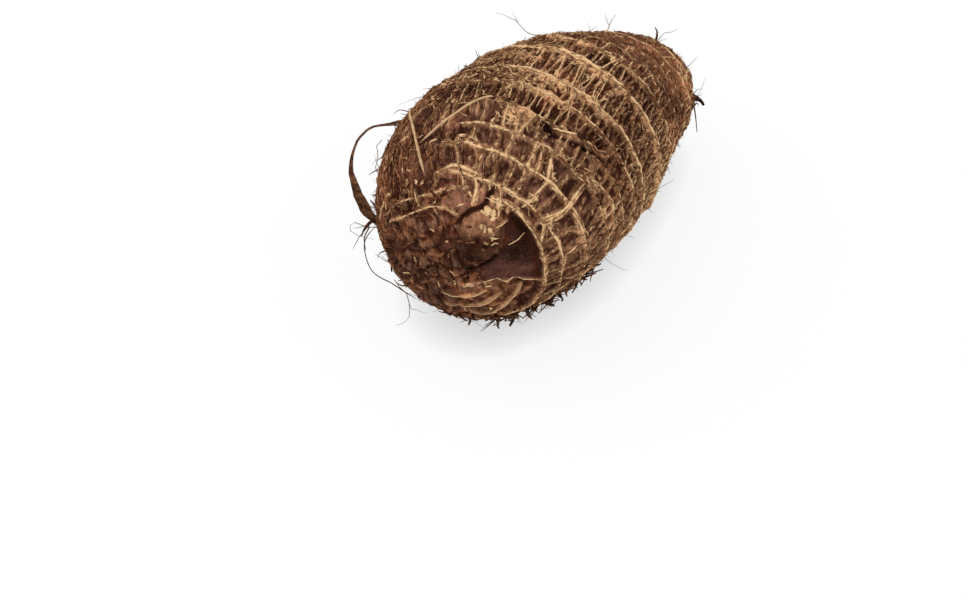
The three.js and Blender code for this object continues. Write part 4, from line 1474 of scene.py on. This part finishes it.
# %% Lay the flakes
x = np.linspace(0, 1, FLAKE_SECTIONS)
tip_lift = dice.gamma(2.0, 0.16, len(length))
path = shreds(dice, length, degrees, FLAKE_SECTIONS, size, turn, 0.2, 0.12, tip_lift)
width = wide[:, None] * (0.35 + 0.65 * np.sin(np.pi * np.clip(0.15 + 0.8 * x, 0, 1)))
width = width * dice.uniform(0.35, 1.45, (len(length), FLAKE_SECTIONS))
lay("flakes", tan_fibre, "bark", *path, width, 0.09, 6, shade, 0.3 * width)

# %% [markdown]
# ## Bristles, hairs and the root fringe
#
# Broken root tips and stiff hairs stand off the bark and give the outline its fuzz. Each one starts on
# the skin, leaves it at a slant, and curls a little. They crowd under the crown's lower edge.

# %% Standing strands
HAIR_SECTIONS = 7


def standing(dice, length, degrees, reach, slant, curl, sections=HAIR_SECTIONS):
    """Paths of strands that stand off the skin: reach in mm, slant as sideways mm for each mm out."""
    foot, normal = on_skin(length, degrees, -0.15)
    count = len(length)
    way = dice.normal(0, 1, (count, 3))
    way -= (way * normal).sum(-1, keepdims=True) * normal
    way /= np.linalg.norm(way, axis=-1, keepdims=True)
    turned = np.cross(normal, way)
    x = np.linspace(0, 1, sections)
    out = x * reach[:, None]
    aside = (slant[:, None] * x + curl[:, None] * x**2) * reach[:, None]
    wave = wavy(dice, count, sections, 0.07) * x * reach[:, None]
    path = foot[:, None] + MM * (out[..., None] * normal[:, None] + aside[..., None] * way[:, None])
    return path + MM * wave[..., None] * turned[:, None], np.broadcast_to(turned[:, None], path.shape)


# %% Bristles all over
dice = np.random.default_rng(61)
bristle_density = np.clip(0.35 + 0.4 * shaggy + 0.35 * tail - bald - bud_lit_top, 0, 1)
length, degrees, count = scatter(dice, 430, bristle_density)
reach = 0.7 + dice.gamma(1.6, 0.55, count)
slant, curl = np.abs(dice.normal(0.5, 0.5, count)), dice.normal(0.2, 0.6, count)
path = standing(dice, length, degrees, reach, slant, curl)
x = np.linspace(0, 1, HAIR_SECTIONS)
width = dice.uniform(0.07, 0.17, (count, 1)) * (1 - 0.8 * x)
add_strands("bristles", dark_shred, "bark", *path, width, width, 4, dice.beta(1.2, 2.5, count))

# %% Root fringe under the crown and at the tail
dice = np.random.default_rng(67)
FRINGE_LINE = [(.086, 262), (.066, 292), (.088, 300), (.102, 314), (.132, 329), (.175, 338), (.225, 342)]
TAIL_TUFT = 0.937
fringe_at = near_path(FRINGE_LINE, 2.2)
tuft_at = bell(length_grid - length_at(TAIL_TUFT), 2.5) * beside(15, 14)
length, degrees, count = scatter(dice, 2400, np.clip(fringe_at + 0.4 * tuft_at, 0, 1))
hidden_side = bell(turn_from(degrees, 262), 22)
reach = dice.uniform(0.4, 2.2, count) * (1 - 0.6 * hidden_side)
slant, curl = dice.normal(0, 1.7, count), dice.normal(0, 1.8, count)
path = standing(dice, length, degrees, reach, slant, curl)
width = dice.uniform(0.14, 0.5, (count, 1)) * (1 - 0.6 * x**1.5)
shade = 0.55 * dice.beta(1.2, 2.2, count)
add_strands("root_fringe", dark_shred, "dark_root", *path, width, width, 5, shade)

# %% [markdown]
# ## Threads and longer hairs
#
# Thin pale threads hang along the undercut beside the crown. The few hairs long enough to be told
# apart each get a route of their own: points of station, degrees and height, joined smoothly.

# %% Pale threads along the undercut
dice = np.random.default_rng(71)
THREAD_LINE = [(.10, 330), (.155, 337), (.21, 342), (.25, 344), (.33, 338), (.44, 326)]
length, degrees, count = scatter(dice, 90, near_path(THREAD_LINE, 1.8))
reach = dice.uniform(1.0, 3.4, count)
slant, curl = dice.normal(0, 1.0, count), dice.normal(0, 1.0, count)
path = standing(dice, length, degrees, reach, slant, curl)
width = dice.uniform(0.05, 0.13, (count, 1)) * (1 - 0.6 * x)
shade = dice.uniform(0.3, 1.0, count)
add_strands("pale_threads", pale_root, "pale_root", *path, width, width, 4, shade)

# %% A few longer hairs
LONG_HAIR_SECTIONS = 9
HAIRS = [
    # (station, degrees, height in mm) along it, half width in mm
    ([(.635, 124, -0.3), (.604, 126, 2.9), (.582, 127, 6.4), (.55, 128.5, 10.5)], 0.12),
    ([(.592, 127.5, 5.4), (.578, 125, 7.6), (.570, 124, 9.4)], 0.08),
    ([(.80, 114, -0.3), (.803, 113, 1.6), (.808, 112, 3.9), (.8165, 111, 5.3)], 0.13),
    ([(.803, 113, 2.0), (.797, 114, 3.6), (.795, 114.5, 4.8)], 0.09),
    ([(.908, 95, -0.3), (.906, 95, 1.75), (.8975, 97, 3.3)], 0.42),
    ([(.906, 96, 1.6), (.912, 98, 2.4), (.917, 98, 3.0)], 0.16),
    ([(.908, 93, -0.2), (.915, 92, 3.0), (.922, 88, 4.6), (.927, 85, 6.4)], 0.12),
    ([(.953, 54, -0.3), (.953, 56, 1.8), (.952, 59, 4.9)], 0.13),
    ([(.2121, 174, -0.3), (.196, 172, 1.2), (.1732, 170.8, 2.6)], 0.26),
    ([(.288, 149.5, 0.3), (.2818, 151.2, 2.7), (.271, 153, 3.4)], 0.16),
    ([(.262, 155, 0.5), (.255, 157, 3.4), (.249, 158, 4.4)], 0.2),
    ([(.228, 160, 2.2), (.215, 162, 2.9), (.206, 163, 1.9), (.1976, 165, 1.8), (.186, 167, 2.6)], 0.1),
    ([(.42, 8, -0.2), (.425, 4, 2.4), (.43, 2, 4.4)], 0.09),
    ([(.55, 350, -0.2), (.552, 347, 2.0), (.56, 344, 3.6)], 0.09),
    ([(.126, 187, -0.3), (.118, 190, 3.4), (.111, 194, 4.8)], 0.5),
    ([(.121, 189.5, 2.0), (.112, 196, 6.4), (.108, 199, 8.2)], 0.14),
    ([(.118, 191, 2.6), (.106, 196, 4.6), (.098, 200, 4.9)], 0.22),
    ([(.120, 189, 1.2), (.113, 189, 5.0), (.111, 188, 7.0)], 0.12),
    ([(.104, 206, -0.3), (.099, 205, 1.6), (.095, 207, 2.8)], 0.18),
    ([(.079, 229, -0.3), (.079, 227, 1.3), (.083, 224, 2.0)], 0.28),
    ([(.0854, 222, 1.9), (.0817, 233, 2.0), (.0817, 241, 4.2), (.0817, 242.5, 7.4),
      (.0817, 240, 9.6)], 0.13),
    ([(.0817, 238, 3.2), (.082, 243, 3.4), (.082, 249, 2.5)], 0.08),
    ([(.115, 192, 0), (.118, 190.2, 3.6), (.124, 188, 6.5), (.118, 190.5, 7.9), (.112, 194, 5.2),
      (.107, 197, 2.0)], 0.13),
    ([(.43, 322, -0.2), (.437, 322, 4.0), (.445, 325, 8.2)], 0.08),
    ([(.177, 170, -0.2), (.185, 168.5, 1.3), (.198, 165, 1.6), (.210, 163, 2.4)], 0.13),
]
path = smooth_routes([route for route, _ in HAIRS], LONG_HAIR_SECTIONS)
thins = 1 - 0.7 * np.linspace(0, 1, LONG_HAIR_SECTIONS) ** 1.4
width = np.array([width for _, width in HAIRS])[:, None] * thins
lay("hairs", dark_shred, "dark_root", *path, width, width, 5, 0.3)

# %% [markdown]
# ## The leaf-base ribbon and the dead roots
#
# These stand for solids of the CAD model. The ribbon is one strip of an old leaf base: wide and cupped
# low down, twisted to a thin edge at its top, and pointed where it grows out of the bark. The two pale
# roots lie across the shoulder, knotted like string. The low one is a dark rootlet with side hairs.

# %% Leaf-base ribbon
RIBBON_ROUTE = [
    (.268, 152, -0.2), (.256, 155, 1.7), (.243, 157, 4.5), (.225, 160, 7.2), (.201, 165, 8.3),
    (.176, 170.5, 7.4), (.153, 177, 5.3), (.134, 183.5, 2.9), (.121, 189, .7), (.116, 192, -0.3),
]
RIBBON_WIDTH = [0.8, 0.8, 0.55, 0.65, 0.45, 0.7, 1.25, 1.6, 0.7, 0.2]
RIBBON_TWIST = [20, 40, 30, 20, 40, 65, 85, 95, 90, 80]
RIBBON_SECTIONS = 36
ribbon_length, ribbon_angle, ribbon_height = smooth_route(RIBBON_ROUTE, RIBBON_SECTIONS)
along = np.linspace(0, len(RIBBON_ROUTE) - 1, RIBBON_SECTIONS)
ribbon_width = np.interp(along, np.arange(len(RIBBON_WIDTH)), RIBBON_WIDTH)
ribbon_twist = np.radians(np.interp(along, np.arange(len(RIBBON_TWIST)), RIBBON_TWIST))[:, None]
ribbon_path, ribbon_normal = on_skin(ribbon_length, ribbon_angle, ribbon_height)
ribbon_way = np.gradient(ribbon_path, axis=0)
ribbon_way /= np.linalg.norm(ribbon_way, axis=-1, keepdims=True)
ribbon_side = np.cross(ribbon_normal, ribbon_way)
ribbon_face = np.cos(ribbon_twist) * ribbon_normal + np.sin(ribbon_twist) * ribbon_side
ribbon_piece = add_strands(
    "leaf_ribbon", dry_leaf, "dry_leaf_base", ribbon_path[None], ribbon_face[None],
    ribbon_width[None], 0.16, 14, np.array([0.35]), 0.45 * ribbon_width[None],
)
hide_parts("leaf_base_ribbon")


# %% A root with knots
def root_piece(name, route, sections, width, knots, material, slot, stands_for, shade):
    """One long root with knots along it, standing for a CAD strand."""
    length, degrees, height = smooth_route(route, sections)
    x = np.linspace(0, 1, sections)
    knotty = 1 + 0.22 * noise_line(sections, knots)
    ends = np.clip(np.minimum(x, 1 - x) * 9, 0.25, 1)
    wide = (width * knotty * ends)[None]
    path, normal = on_skin(length, degrees, height)
    for _ in range(10):
        path[1:-1] = (path[:-2] + 2 * path[1:-1] + path[2:]) / 4
    paths = path[None], normal[None]
    shades = np.array([shade])
    piece = add_strands(name, material, slot, *paths, wide, 0.85 * wide, 7, shades)
    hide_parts(stands_for)


def noise_line(sections, knots):
    """Uneven numbers along a line, between about -1 and 1."""
    places = [Vector((knots * i / sections, 0.5, 3.7)) for i in range(sections)]
    return np.array([noise.fractal(place, 1.0, 2.0, 2) for place in places])


# %% Lay the loose roots
root_piece(
    "pale_root_long",
    [(.30, 150, 0.2), (.25, 141.5, 0.9), (.194, 132, 1.0), (.15, 126.5, 0.9), (.11, 122.5, 0.6),
     (.078, 119, 0)],
    40, 0.40, 14, pale_root, "pale_root", "root_strand_long", 0.55,
)
root_piece(
    "pale_root_cross",
    [(.139, 124, 0.5), (.160, 114.5, 1.2), (.190, 107.5, 1.4), (.222, 102.5, 1.3), (.262, 97, 0.5),
     (.270, 96, 0)],
    36, 0.35, 12, pale_root, "pale_root", "root_strand_cross", 0.75,
)
root_piece(
    "dark_rootlet",
    [(.118, 190, 0), (.111, 194, 3.2), (.106, 197.5, 5.0), (.098, 204, 5.6), (.089, 210.5, 5.6),
     (.084, 217.5, 4.1), (.0805, 223.5, 2.7), (.077, 233, 1.7), (.078, 242, .4)],
    40, 0.17, 16, dark_root, "dark_root", "root_strand_low", 0.4,
)

# %% [markdown]
# ## Root stubs
#
# Broken roots stick out under the crown, on the left side and at the tail. Each stub is a thick short
# strand that stands for a solid of the CAD model. A few thinner strands round it fray its end.

# %% Root stubs
STUB_SECTIONS = 10
STRANDS_A_STUB = 5
STUBS = [
    # station, degrees, length in mm, half width at the foot in mm
    (.089, -86, 3.0, 0.55), (.086, -66, 3.6, 0.65), (.095, -54, 3.4, 0.8), (.104, -44, 4.0, 0.7),
    (.118, -34, 3.8, 0.85), (.142, -26, 3.4, 0.7), (.12, 218, 2.8, 0.5), (.165, 188, 3.6, 0.4),
    (.42, 205, 2.6, 0.5), (.60, 168, 2.4, 0.45), (.936, 17, 4.2, 1.0),
]
dice = np.random.default_rng(79)
for number, (station, turn, size, foot) in enumerate(STUBS, 1):
    at = np.array([length_at(station)]), np.array([turn])
    slant, curl = dice.normal(0, 0.6, 1), dice.normal(0.4, 0.8, 1)
    path = standing(dice, *at, np.array([0.8 * size]), slant, curl, STUB_SECTIONS)
    knotty = 1 + 0.2 * noise_line(STUB_SECTIONS, 5 + number)
    wide = (foot * (1 - 0.62 * np.linspace(0, 1, STUB_SECTIONS)) * knotty)[None]
    name = f"root_tip_{number:02d}"
    stub = add_strands(name, dark_root, "dark_root", *path, wide, 0.85 * wide, 8, np.array([0.3]))
    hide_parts(f"root_stub_{number:02d}")

# %% Frayed ends of the stubs
placed = np.array(STUBS).repeat(STRANDS_A_STUB, axis=0)
count = len(placed)
length = length_at(placed[:, 0]) + dice.normal(0, 0.35, count)
degrees = placed[:, 1] + dice.normal(0, 0.4, count) * degrees_per_mm(length)
reach = placed[:, 2] * dice.uniform(0.45, 1.0, count)
slant, curl = dice.normal(0, 1.0, count), dice.normal(0, 1.4, count)
path = standing(dice, length, degrees, reach, slant, curl)
width = dice.uniform(0.07, 0.2, (count, 1)) * (1 - 0.7 * np.linspace(0, 1, HAIR_SECTIONS))
shade = dice.beta(1.5, 3, count)
add_strands("frayed_tips", dark_root, "dark_root", *path, width, width, 4, shade)
